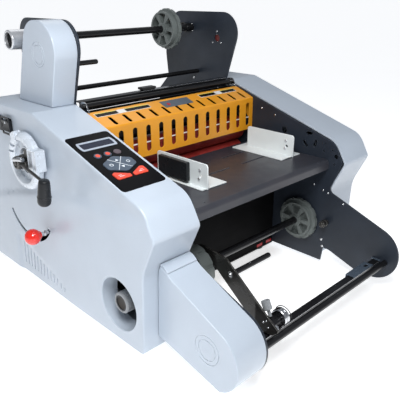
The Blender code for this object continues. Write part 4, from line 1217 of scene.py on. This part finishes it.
def knurl_cutters(centre, radius, low, high, count, width=0.7):
    """Straight flutes round a knob that lies along X."""
    half = math.degrees(width / radius) / 2
    cutters = []
    for i in range(count):
        angle = 360 / count * i
        flute = arc_slot(centre, radius + 0.3, 1.5, angle - half, angle + half)
        cutters.append(prism_mesh([flute], low, high))
    return cutters


def upper_knob():
    """The silver knob on the upper film shaft, a cup with a dark core."""
    low, high = (corner.x for corner in span("upper_shaft_knob"))
    centre, bore = (0, *UPPER_SHAFT), SHAFT_RADIUS + 0.1
    profile = [(bore, high), (18, high), (18, low + 1.5), (16.5, low), (14.5, low), (14.2, low + 0.6),
               (14.0, low + 7), (bore, low + 7)]
    cup = turned_mesh(profile, centre, ALONG_X, 96, closed=True)
    piece("upper_knob_shell", cup, BRUSHED_STEEL, "upper_reel", ["upper_shaft_knob"], edge=0.5)
    profile = [(0, low + 4.5), (8, low + 4.5), (9, low + 5.2), (13.6, low + 5.4), (13.6, low + 7.2),
               (0, low + 7.2)]
    core = turned_mesh(profile, centre, ALONG_X, 64)
    piece("upper_knob_core", core, DEEP_BLACK_AND_SHADE, "upper_reel", edge=0.3)


def lower_knob():
    """The knurled knob on the lower film shaft, with a black ring and a dark core in its end."""
    low, high = (corner.x for corner in span("lower_shaft_knob"))
    low -= LOWER_KNOB_REACH
    centre, bore = (0, *LOWER_SHAFT), SHAFT_RADIUS + 0.1
    profile = [(bore, high), (17.4, high), (18.5, high - 1), (18.5, low + 1.8), (16.6, low), (14.2, low),
               (14.0, low + 3), (bore, low + 3)]
    cup = turned_mesh(profile, centre, ALONG_X, 96, closed=True)
    piece("lower_knob_shell", cup, KNOB_GREY, "lower_reel", ["lower_shaft_knob"],
          cuts=knurl_cutters(LOWER_SHAFT, 18.5, low + 3, high - 8, 44))
    ring = turned_mesh(band(11.4, 13.9, low + 0.4, low + 3.5), centre, ALONG_X, 64, closed=True)
    piece("lower_knob_ring", ring, GRIP_PLASTIC, "lower_reel", edge=0.3)
    profile = [(0, low + 1.8), (9.2, low + 1.6), (11.1, low + 1.2), (11.1, low + 3.5), (0, low + 3.5)]
    core = turned_mesh(profile, centre, ALONG_X, 64)
    piece("lower_knob_core", core, KNOB_CORE, "lower_reel", edge=0.2)


def idlers_and_rods():
    """The two film idlers, the guard's hinge rod and the two stub rods."""
    inside, end = PLATE_INNER - 0.3, PLATE_OUTER - 1
    for node, at, radius, journal in (
        ("upper_idler", UPPER_IDLER, 5.0, 3.6),
        ("front_idler", FRONT_IDLER, 6.0, 4.6),
    ):
        steps = [(-end, -inside, journal), (-inside, inside, radius), (inside, end, journal)]
        black_bar(f"{node}_bar", node, node, at, steps, 48)
    black_bar("guard_hinge_bar", "guard_hinge_rod", "frame", HINGE_ROD, [(-end, end, 5.0)], edge=0.4)
    low = span("upper_stub_rod")[0].x
    steps = [(low, -162, 4.5), (-162, -160.6, 4.0), (-160.6, -159.5, 2.6)]
    black_bar("upper_stub_bar", "upper_stub_rod", "frame", axis_centre("upper_stub_rod"), steps)
    low, high = (corner.x for corner in span("lower_stub_rod"))
    y, z = axis_centre("lower_stub_rod")
    steps = [(low, high - 2.5, 5.0), (high - 2.5, high - 1, 4.4), (high - 1, high, 3.0)]
    black_bar("lower_stub_bar", "lower_stub_rod", "frame", (y, z), steps)
    screws("stub_rod_screw", [(-75, y, z + 5)], UP, STEEL, "frame", 1.4, 0.8)


def guard_rear_bar():
    """The folded strip behind the guard's hinge, with its black bracket."""
    section = rounded([
        (40, 366, 0), (41.5, 366, 0), (41.5, 382.5, 1), (58, 382.5, 0), (58, 384, 0), (40, 384, 2),
    ])
    mesh = prism_mesh([section], -199, 199)
    piece("rear_bar", mesh, BLACK_PAINT, "frame", edge=0.3)
    trim = [(39.2, 384.1), (50, 384.1), (50, 385.0), (39.2, 385.0)]
    piece("rear_bar_trim", prism_mesh([trim], -60, 196), STEEL, "frame", edge=0.2)
    bracket = rounded([
        (-48, 387, 0), (-48, 391, 1.5), (-12, 391, 1.5), (-12, 387, 0), (-18, 384, 0), (-42, 384, 0),
    ])
    piece("rear_bar_bracket", prism_mesh([bracket], -58, -42, FRONT), BLACK_PAINT, "frame", edge=0.6)


def slitter_rail():
    """The rail, grooved along its back, with a bright line along its front."""
    low, high = span("slitter_rail")
    section = rounded([(low.y, low.z, 1), (high.y, low.z, 1), (high.y, high.z, 1), (low.y, high.z, 1)])
    groove = rectangle((high.y, (low.z + high.z) / 2), (3.0, 3.0))
    piece("slitter_rail_bar", prism_mesh([section], low.x, high.x), BLACK_PAINT, "frame", ["slitter_rail"],
          edge=0.5, cuts=[prism_mesh([groove], low.x - 1, high.x + 1)])
    line = box_mesh((low.x + 1, low.y - 0.35, high.z - 2.2), (high.x - 1, low.y + 0.2, high.z - 1.2))
    piece("slitter_rail_line", line, ALUMINIUM, "frame")


def rail_plates():
    """The slotted stop plate that slides on the rail, and the fixed plate at the rail's right end."""
    low, high = (corner.x for corner in span("rail_slider"))
    y, top = axis_centre("slitter_rail")[0], span("slitter_rail")[1].z + 0.3
    plate = rounded([(y - 9, top, 0), (y + 9, top, 0), (y + 9, top - 8, 0), (y + 11, top - 8, 0),
                     (y + 11, top + 2, 1.2), (y - 9, top + 2, 0.8)], 20)
    opening = prism_mesh([slot((high - 16, y), (high - 9, y), 6)], top - 4, top + 6, LEVEL)
    piece("rail_slider_plate", prism_mesh([plate], low, high), SLIDE_METAL, "rail_slider", ["rail_slider"],
          edge=0.5, cuts=[opening])
    fixed = rounded([(y - 9, top, 0), (y + 10, top, 0), (y + 10, top + 1.6, 0.8), (y - 9, top + 1.6, 0.8)])
    piece("rail_end_plate", prism_mesh([fixed], 197.6, 203), SLIDE_METAL, "frame", edge=0.4)


def bent_mesh(outline, low, high):
    """A plate in the Y-Z plane that leans inward behind the bend line."""
    mesh = prism_mesh([outline], low, high)
    bm = bmesh.new()
    bm.from_mesh(mesh)
    for past in (0, 4, 8):
        everything = bm.verts[:] + bm.edges[:] + bm.faces[:]
        place = Vector((0, (LINK_BEND + past) * MM, 0))
        bmesh.ops.bisect_plane(bm, geom=everything, plane_co=place, plane_no=(0, 1, 0))
    for vert in bm.verts:
        run = vert.co.y - LINK_BEND * MM
        vert.co.x += LINK_LEAN * max(0.0, run)
    bm.to_mesh(mesh)
    bm.free()
    return mesh


def link_plate():
    """The dark plate that rises from the rail to the lower film shaft, with its screws."""
    outline = rounded([
        (-162, 126, 2), (-180, 134, 6), (-268, 147, 8), (LINK_BEND, 116, 0), (-407, 80, 4),
        (-394, 69, 3), (-371, 67, 1), (-370, 63, 1), (LINK_BEND, 72, 0), (-235, 111, 14),
    ])
    face = span("link_plate")[0].x + 3
    piece("link_plate_steel", bent_mesh(outline, face - 3, face), GUNMETAL, "frame", ["link_plate"],
          edge=0.45)
    x = face - 3 + LINK_LEAN * (-282 - LINK_BEND)
    axis = Vector((-1, LINK_LEAN, 0)).normalized()
    washer = turned_mesh([(0, 0), (6.2, 0), (6.2, 0.8), (0, 0.8)], (x, -282, 124), axis, 40)
    piece("link_washer", washer, BRUSHED_STEEL, "frame", edge=0.2)
    screws("link_screw", [(x - 0.7, -282, 124)], axis, STEEL, "frame", 3.6, 2.2)
    places = [(face - 3, y, z) for y, z in ((-376, 86), (-386, 80), (-381, 90))]
    screws("link_foot_screws", places, TO_LEFT, STEEL, "frame", 2.0, 1.2)
    profile = stepped([(0, 5, 5.5), (5, 8, 4.2), (8, 13, 5.5)])
    bolt = turned_mesh(profile, (face - 1, -391, 74), (1, 0, 0.1), 6)
    piece("link_foot_bolt", bolt, STEEL, "frame", edge=0.5)


def slitter_block():
    """The slitter's block, which hooks over the rail."""
    low, high = (corner.x for corner in span("slitter_block"))
    y, top = axis_centre("slitter_rail")[0], span("slitter_rail")[1].z + 0.3
    section = rounded([
        (y + 8.5, top - 8, 0), (y + 14, top - 8, 1), (y + 14, top + 20, 4),
        (y - 10, top + 20, 6), (y - 10, top, 1), (y + 8.5, top, 0),
    ])
    piece("slitter_block_body", prism_mesh([section], low, high), BLACK_PAINT, "slitter", ["slitter_block"],
          edge=0.8)


def slitter_wheel():
    """The grooved cutting wheel on its pin, with a wire clip over it."""
    y, z = axis_of("slitter_wheel_spin").yz
    start = span("slitter_wheel")[0].x
    profile = [(2.4, 0), (14.4, 0), (15.3, 1.2), (15.5, 4.8), (13.2, 6.0), (15.5, 7.2), (15.5, 10.8),
               (14.2, 12), (6.0, 12), (5.4, 10.6), (2.4, 10.6)]
    mesh = turned_mesh(profile, (start, y, z), ALONG_X, 72, closed=True)
    piece("slitter_wheel_disc", mesh, STEEL, "slitter_wheel", ["slitter_wheel"], edge=0.3)
    steps = [(start - 0.4, start + 12.5, 2.3), (start + 12.5, start + 13.6, 3.4)]
    piece("slitter_wheel_pin", turned_mesh(stepped(steps), (0, y, z)), GUNMETAL, "slitter", edge=0.3)
    clip = [(start + 13.4, *place) for place in arc((y, z), 16.6, 20, 170, 10)]
    piece("slitter_wire", tube_mesh(clip, 0.8), BLACK_PAINT, "slitter")


def slitter_knob():
    """The fluted clamp knob on the slitter's block."""
    axis, centre = Vector(JOINTS["slitter_knob_turn"]["axis"]), axis_of("slitter_knob_turn")
    profile = [(0, 2.5), (3, 2.5), (3, 14), (6.8, 14), (7.5, 14.8), (7.5, 29), (6.5, 30), (4.2, 30),
               (3.8, 29.2), (0, 29.2)]
    obj = thing("slitter_knob_grip", turned_mesh(profile, centre, axis, 64))
    turn = Matrix.Translation(centre * MM) @ axis.to_track_quat("Z", "Y").to_matrix().to_4x4()
    flutes = []
    for i in range(22):
        angle = math.radians(360 / 22 * i)
        place = (7.8 * math.cos(angle), 7.8 * math.sin(angle))
        flutes.append(prism_mesh([circle(place, 0.6, 8)], 16.5, 28, turn))
    cut(obj, *flutes)
    finished(obj, KNOB_GREY, "slitter_knob", ["slitter_knob"])


# --------------------------------------------------------------- side controls

def pressure_ring():
    """The cast detent ring on the cover, with its lug, cap, notches, inner dish and stop."""
    y, z = PRESSURE_AXIS
    face = HALF_WIDTH + 0.3
    back = face - 3.2
    rim = [(36.0, face + 7), (38.0, face + 10), (40, face + 12.5), (42, face + 13.5), (46.5, face + 13.5),
           (48.5, face + 12.5), (52.4, face + 8), (53, face + 6.5), (53, back + 1.8), (38, back + 1.8),
           (36, face + 2)]
    dish = [(23.5, face - 2.6), (39, face - 2.6), (39, face + 3.4), (34, face + 2.0), (27, face + 1.6),
            (25.5, face + 3.6), (23.5, face + 3.6)]
    lug = rounded([(y - 66, z - 6, 2), (y - 38, z - 8, 2), (y - 38, z + 33, 2), (y - 66, z + 33, 2)], 30)
    cap = rounded([(y + 14, z + 42, 2), (y + 29, z + 35, 2), (y + 33, z + 47, 2), (y + 18, z + 54, 2)], 30)
    stop = rounded([
        (y - 39, z + 16, 1.5), (y - 15, z + 12, 1.5), (y - 15, z + 26, 1.5), (y - 39, z + 30, 1.5),
    ], 30)
    obj = thing("pressure_ring_cast", turned_mesh(rim, (0, y, z), TO_LEFT, 96, closed=True))
    join(obj, prism_mesh([lug], -face - 19, -face), prism_mesh([cap], -face - 13, -face),
         turned_mesh(dish, (0, y, z), TO_LEFT, 96, closed=True))
    notches = [arc_slot((y, z), 46, 18, angle - width / 2, angle + width / 2)
               for angle, width in ((18, 7), (38, 9), (74, 6))]
    cuts = [prism_mesh([notch], -face - 20, -face - 3) for notch in notches]
    cuts.append(prism_mesh([rectangle((y - 54, z + 12), (2.5, 34))], -face - 25, -face - 17.5))
    cut(obj, *cuts)
    finished(obj, WHITE_METAL, "frame", ["pressure_ring"], edge=0.7)
    piece("pressure_ring_stop", prism_mesh([stop], -face - 14, -face), GUNMETAL, "frame", edge=0.6)
    angles = [math.radians(angle) for angle in (140, 225, 315)]
    places = [(-face - 1.6, y + 32 * math.cos(angle), z + 32 * math.sin(angle)) for angle in angles]
    screws("pressure_ring_screws", places, TO_LEFT, STEEL, "frame", 3.0, 1.6)


def pressure_lever():
    """The hub, chrome pin, thin rod and black grip of the pressure lever."""
    y, z = PRESSURE_AXIS
    base = [(0, 289), (21.2, 289), (22, 290), (22, 299), (20.5, 300.5), (0, 300.5)]
    piece("pressure_lever_base", turned_mesh(base, (0, y, z), TO_LEFT, 72), BRUSHED_STEEL, "pressure",
          edge=0.4)
    hub = [(0, 300), (13.5, 300), (13.5, 312), (12.5, 313), (12.5, 321), (11.5, 324), (10.5, 325),
           (8.5, 325.2), (8.2, 323), (4.0, 323), (4.0, 325.6), (3.0, 326), (0, 326)]
    obj = thing("pressure_lever_hub", turned_mesh(hub, (0, y, z), TO_LEFT, 72))
    flats = []
    for angle in (35, 155, 275):
        turn = math.radians(angle)
        place = (y + 14 * math.cos(turn), z + 14 * math.sin(turn))
        flats.append(prism_mesh([circle(place, 4.0, 20)], -330, -303))
    cut(obj, *flats)
    finished(obj, GUNMETAL, "pressure", ["pressure_lever"], edge=0.5)
    start, end = Vector((-318, y, z)), Vector((-333.4, -50, z - 7))
    bend = Vector((-332.6, -38, z - 4))
    path = [start, start.lerp(bend, 0.5) + Vector((-1.0, 0, 0.8)), bend, end, end + Vector((0, -1.0, -3.0))]
    piece("pressure_lever_rod", tube_mesh(path, 2.9), GUNMETAL, "pressure")
    pin = turned_mesh(stepped([(-10, 16, 4.4), (16, 18, 3.6)]), (-322, y - 3, z + 7), (0.1, -1, 0.15), 32)
    piece("pressure_lever_pin", pin, STEEL, "pressure", edge=0.6)
    down = Vector((-1.5, 9, -58)).normalized()
    top = end + Vector((0, 0, 7))
    grip = [(0, 0), (5, 0), (7.5, 0.8), (9, 2.4), (9.8, 6), (10.3, 14), (11.0, 24), (11.6, 34), (11.6, 40),
            (10.6, 44), (8.4, 46.4), (5, 47.6), (0, 48)]
    piece("pressure_grip_body", turned_mesh(grip, top, down, 64), GRIP_PLASTIC, "pressure",
          ["pressure_grip"])
    collar = turned_mesh([(11.3, 30.4), (12.0, 30.8), (12.0, 32.0), (11.5, 32.4)], top, down, 64, closed=True)
    piece("pressure_grip_collar", collar, GRIP_PLASTIC, "pressure")


def tension_lever():
    """The lever behind the arc slot, its bright stem and the red ball."""
    rest = axis_centre("tension_ball")
    pivot = TENSION_AXIS
    arm = slot(pivot, rest, 14.0)
    mesh = prism_mesh([arm], -293, -289)
    pivot_pin = turned_mesh(stepped([(268, 290, 6)]), (0, *pivot), TO_LEFT, 40)
    piece("tension_lever_arm", mesh, STEEL, "tension", ["tension_lever"], edge=0.4, joins=[pivot_pin])
    stem = stepped([(291, 306, 3.5), (306, 309, 5.2), (309, 318, 3.5)])
    piece("tension_stem", turned_mesh(stem, (0, *rest), TO_LEFT, 40), STEEL, "tension", edge=0.4)
    centre = (span("tension_ball")[0].x + 15, *rest)
    piece("tension_ball_shell", ball_mesh(centre, 15, 64), BALL_PLASTIC, "tension",
          ["tension_ball"])
    collar = turned_mesh([(0, -15.6), (6.4, -15.6), (7.6, -13.2), (7.6, -11), (0, -11)], centre, TO_LEFT, 48)
    piece("tension_ball_collar", collar, BALL_PLASTIC, "tension", edge=0.4)


def power_switch():
    """The rocker switch, bent at its middle and marked with a line, in its bezel."""
    y, z = axis_centre("power_switch")
    wedge = [(-9.9, -304.0), (-5, -302.6), (0, -301.8), (5, -302.6), (9.9, -304.0), (9.9, -290.0),
             (-9.9, -290.0)]
    turn = Matrix(((0, 1, 0, 0), (0, 0, 1, y * MM), (1, 0, 0, z * MM), (0, 0, 0, 1)))
    piece("power_switch_rocker", prism_mesh([wedge], -12.5, 12.5, turn), GRIP_PLASTIC, "power_rocker",
          ["power_switch"], edge=0.7)
    mark = box_mesh((-303.6, y - 0.9, z + 4.0), (-302.4, y + 0.9, z + 8.0))
    piece("power_switch_mark", mark, PRINT_WHITE, "power_rocker")
    rim = [rectangle((y, z), (31, 33.5), 2.5), rectangle((y, z), (25.8, 27.6), 1.5)]
    piece("power_switch_bezel", prism_mesh(rim, -302.6, -300.1), GRIP_PLASTIC, "frame", edge=0.5)


def power_inlet():
    """The mains inlet: a body with a keyed cavity and three blades."""
    y, z = axis_centre("power_inlet")
    low, high = span("power_inlet")
    body = rectangle((y, z), (high.y - low.y, high.z - low.z), 3)
    cavity = rounded([(y - 12, z - 8, 1), (y + 12, z - 8, 1), (y + 12, z + 3, 1), (y + 7, z + 8, 1),
                      (y - 7, z + 8, 1), (y - 12, z + 3, 1)], 30)
    piece("power_inlet_body", prism_mesh([body], low.x, high.x), GRIP_PLASTIC, "frame", ["power_inlet"],
          edge=0.6, cuts=[prism_mesh([cavity], low.x - 2, low.x + 18)])
    blades = [box_mesh((low.x + 5, y + dy - 2, z + dz - 0.8), (low.x + 19, y + dy + 2, z + dz + 0.8))
              for dy, dz in ((-7, -3), (7, -3), (0, 3))]
    piece("power_inlet_blades", blades, STEEL, "frame", edge=0.3)


# --------------------------------------------------------------- control panel

PANEL_TURN = slope_frame(PANEL_X, PANEL_Y)
PANEL_FACE = 0.8
KEY_FACE = PANEL_FACE + 1.2
DISPLAY_V = 49.0
ROUND_KEY_V = 17.0
NAV_V = -15.0
ROUND_KEYS = (
    ("key_left", -20.0, KEY_GREY, KEY_RED),
    ("key_middle", -1.0, KEY_GREY, KEY_RED),
    ("key_right", 18.0, KEY_MAUVE, KEY_MAUVE),
)


def nav_outline():
    """The four-way key: a wide hexagon with round corners."""
    return rounded([
        (-27.5, -23.5, 6), (0, -38, 9), (27.5, -23.5, 6), (27.5, -6.5, 6), (0, 8, 9), (-27.5, -6.5, 6),
    ])


def arrow_outline(sign):
    """A key shaped as a blunt triangle that points away from the middle."""
    corners = [(2.5, -45.5, 1.5), (24.5, -33.5, 3), (30.5, -36, 3), (29.5, -53, 3.5), (2.5, -52.5, 2)]
    mirrored = [(sign * u, v, radius) for u, v, radius in corners]
    return rounded(mirrored if sign < 0 else mirrored[::-1])


def display_outline(width, height, bulge):
    """A rectangle round the display's middle whose two ends bulge outward."""
    half, up, v = width / 2, height / 2, DISPLAY_V
    angles = [math.radians(angle) for angle in range(-80, 81, 20)]
    right = [(half + bulge * math.cos(angle), up * math.sin(angle)) for angle in angles]
    left = [(-a, -b) for a, b in right]
    return [(a, b + v) for a, b in [(-half, -up), (half, -up), *right, (half, up), (-half, up), *left]]


def stroke(start, end, width, low, high):
    """A thin raised stroke on the panel."""
    return prism_mesh([slot(start, end, width, 45)], low, high, PANEL_TURN)


def display_opening():
    """The display's outline in the panel."""
    return rectangle((0, DISPLAY_V), (66, 25), 3)


def round_key_outline(u):
    """A round key's outline at its place along the panel."""
    return circle((u, ROUND_KEY_V), 6.5, 48)


def control_panel():
    """The glossy film in the cover's slope, open where the display and the keys come through."""
    openings = [grown(display_opening(), 0.4)]
    openings += [grown(outline, 0.5) for outline in (nav_outline(), arrow_outline(-1), arrow_outline(1))]
    openings += [grown(round_key_outline(u), 0.5) for _, u, _, _ in ROUND_KEYS]
    film = prism_mesh([rectangle((0, 0), PANEL_SIZE, 6)] + openings, PANEL_FACE - 3.4, PANEL_FACE, PANEL_TURN)
    piece("control_panel_film", film, PANEL_FILM, "frame", ["control_panel"], edge=0.25)


def display():
    """The dark display glass and its silver frame."""
    rim = [display_outline(63, 25, 3.5), display_outline(59, 16.5, 1.0)]
    bezel = prism_mesh(rim, PANEL_FACE + 0.05, PANEL_FACE + 0.75, PANEL_TURN)
    piece("display_bezel", bezel, SCREEN_FRAME, "frame", edge=0.3)
    glass = prism_mesh([display_opening()], PANEL_FACE - 3.4, PANEL_FACE + 0.12, PANEL_TURN)
    piece("display_glass", glass, SCREEN, "frame", ["display_window"], edge=0.2)


def round_keys():
    """The three round keys, each a cap with a coloured lens."""
    share = 0.62
    for i, (body, u, paint, lens_paint) in enumerate(ROUND_KEYS):
        name, outline = f"round_key_{i + 1}", round_key_outline(u)
        lens = [(a * share + u * (1 - share), b * share + ROUND_KEY_V * (1 - share)) for a, b in outline]
        cap = prism_mesh([outline], KEY_FACE - 2.4, KEY_FACE - 0.35, PANEL_TURN)
        piece(f"{name}_cap", cap, paint, body, [name], edge=0.5)
        mesh = prism_mesh([lens], KEY_FACE - 0.5, KEY_FACE - 0.02, PANEL_TURN)
        piece(f"{name}_lens", mesh, lens_paint, body, edge=0.3)


def nav_key():
    """The four-way key, with a thin cross, two arrowheads and two rings on it."""
    low, high, v = KEY_FACE - 0.25, KEY_FACE, NAV_V
    cap = prism_mesh([nav_outline()], KEY_FACE - 2.4, KEY_FACE - 0.2, PANEL_TURN)
    piece("nav_key_cap", cap, KEY_GREY, "nav", ["nav_key"], edge=0.6)
    marks = [stroke((-13, v - rise), (13, v + rise), 0.8, low, high) for rise in (16, -16)]
    for side in (-1, 1):
        head = [(-3.2, v + side * 7.5), (0, v + side * 12.5), (3.2, v + side * 7.5)]
        marks.append(prism_mesh([head if side < 0 else head[::-1]], low, high, PANEL_TURN))
        ring = [circle((side * 16, v), 3.4, 24), circle((side * 16, v), 2.3, 24)]
        marks.append(prism_mesh(ring, low, high, PANEL_TURN))
    piece("nav_key_marks", marks, PRINT_WHITE, "nav")


def arrow_keys():
    """The two red keys, each with two short lines on it."""
    low, high = KEY_FACE - 0.2, KEY_FACE
    for side, sign in (("left", -1), ("right", 1)):
        name, body = f"arrow_key_{side}", f"arrow_{side}"
        cap = prism_mesh([arrow_outline(sign)], KEY_FACE - 2.4, KEY_FACE - 0.15, PANEL_TURN)
        piece(f"{name}_cap", cap, KEY_RED, body, [name], edge=0.6)
        marks = [stroke((sign * u, v), (sign * 23, v), 0.9, low, high) for u, v in ((14, -47.0), (18, -43.5))]
        piece(f"{name}_marks", marks, PRINT_WHITE, body)


# ------------------------------------------------------------------- surroundings

FLOOR_GLOW = 0.66
WORLD_COLOUR = (0.31, 0.325, 0.35)
KEY_COLOUR = (0.97, 0.985, 1.0)
BACK_COLOUR = (1.0, 1.0, 1.0)

# The camera's place in world metres, its turns in radians and its lens in millimetres
CAMERA_PLACE = (-0.69854, -0.74664, 0.57796)
CAMERA_YAW = 0.773841
CAMERA_PITCH = 0.380209
CAMERA_ROLL = -0.00593247
CAMERA_LENS = 47.618


def camera():
    """The camera: yaw from +Y toward +X, pitch down, then roll about the line of sight."""
    run = math.cos(CAMERA_PITCH)
    ahead = Vector((math.sin(CAMERA_YAW) * run, math.cos(CAMERA_YAW) * run, -math.sin(CAMERA_PITCH)))
    level = Vector((math.cos(CAMERA_YAW), -math.sin(CAMERA_YAW), 0))
    upright = level.cross(ahead)
    right = level * math.cos(CAMERA_ROLL) + upright * math.sin(CAMERA_ROLL)
    top = upright * math.cos(CAMERA_ROLL) - level * math.sin(CAMERA_ROLL)
    data = bpy.data.cameras.new("camera")
    data.lens = CAMERA_LENS
    data.sensor_width = 36.0
    data.clip_start = 0.01
    obj = bpy.data.objects.new("camera", data)
    turn = Matrix((right, top, -ahead)).transposed().to_4x4()
    obj.matrix_world = Matrix.Translation(CAMERA_PLACE) @ turn
    bpy.context.scene.collection.objects.link(obj)
    bpy.context.scene.camera = obj


def floor():
    """A wide pale floor that glows a little, as lit paper does."""
    bm = bmesh.new()
    bmesh.ops.create_grid(bm, x_segments=8, y_segments=8, size=40.0)
    mesh = made_from(bm, "floor")
    obj = bpy.data.objects.new("floor", mesh)
    bpy.context.scene.collection.objects.link(obj)
    paint = surface("floor_paper", (0.93, 0.93, 0.93), 0.8, patch=0.01, patch_size=400, speckle=0.0,
                    grain=0.05, specular=0.2)
    shader = paint.node_tree.nodes["Principled BSDF"]
    shader.inputs["Emission Color"].default_value = (1.0, 1.0, 1.0, 1.0)
    shader.inputs["Emission Strength"].default_value = FLOOR_GLOW
    mesh.materials.append(paint)


def area_light(name, place, target, size, power, colour):
    """A soft square light that looks at a point."""
    data = bpy.data.lights.new(name, "AREA")
    data.shape = "SQUARE"
    data.size = size
    data.energy = power
    data.color = colour
    obj = bpy.data.objects.new(name, data)
    obj.location = place
    obj.rotation_mode = "QUATERNION"
    obj.rotation_quaternion = (Vector(target) - Vector(place)).to_track_quat("-Z", "Y")
    bpy.context.scene.collection.objects.link(obj)


def lighting():
    """A pale surround, a soft key light from the front left and a weak one from behind."""
    world = bpy.data.worlds.new("world")
    world.use_nodes = True
    tree = world.node_tree
    background = tree.nodes["Background"]
    background.inputs["Strength"].default_value = 1.0
    background.inputs["Color"].default_value = (*WORLD_COLOUR, 1.0)
    bpy.context.scene.world = world
    area_light("key", (-0.50, -0.55, 0.98), (-0.24, -0.15, 0.26), 0.42, 10.5, KEY_COLOUR)
    area_light("back", (0.5, 0.9, 1.3), (0.0, 0.0, 0.3), 0.8, 2.0, BACK_COLOUR)


def build():
    """Make every piece."""
    side_plates()
    plate_fasteners()
    base_and_feet()
    cross_panels()
    side_covers()
    shaft_recess()
    tower_and_arm_covers()
    feed_table()
    paper_guides()
    guard_ears()
    guard_sheet()
    guard_labels()
    guard_backing()
    rollers()
    roller_yoke()
    drive_train()
    film_shafts()
    upper_knob()
    lower_knob()
    idlers_and_rods()
    guard_rear_bar()
    slitter_rail()
    rail_plates()
    link_plate()
    slitter_block()
    slitter_wheel()
    slitter_knob()
    pressure_ring()
    pressure_lever()
    tension_lever()
    power_switch()
    power_inlet()
    control_panel()
    display()
    round_keys()
    nav_key()
    arrow_keys()


build()
bpy.context.scene.view_settings.view_transform = "Standard"
camera()
floor()
lighting()
bpy.context.view_layer.update()
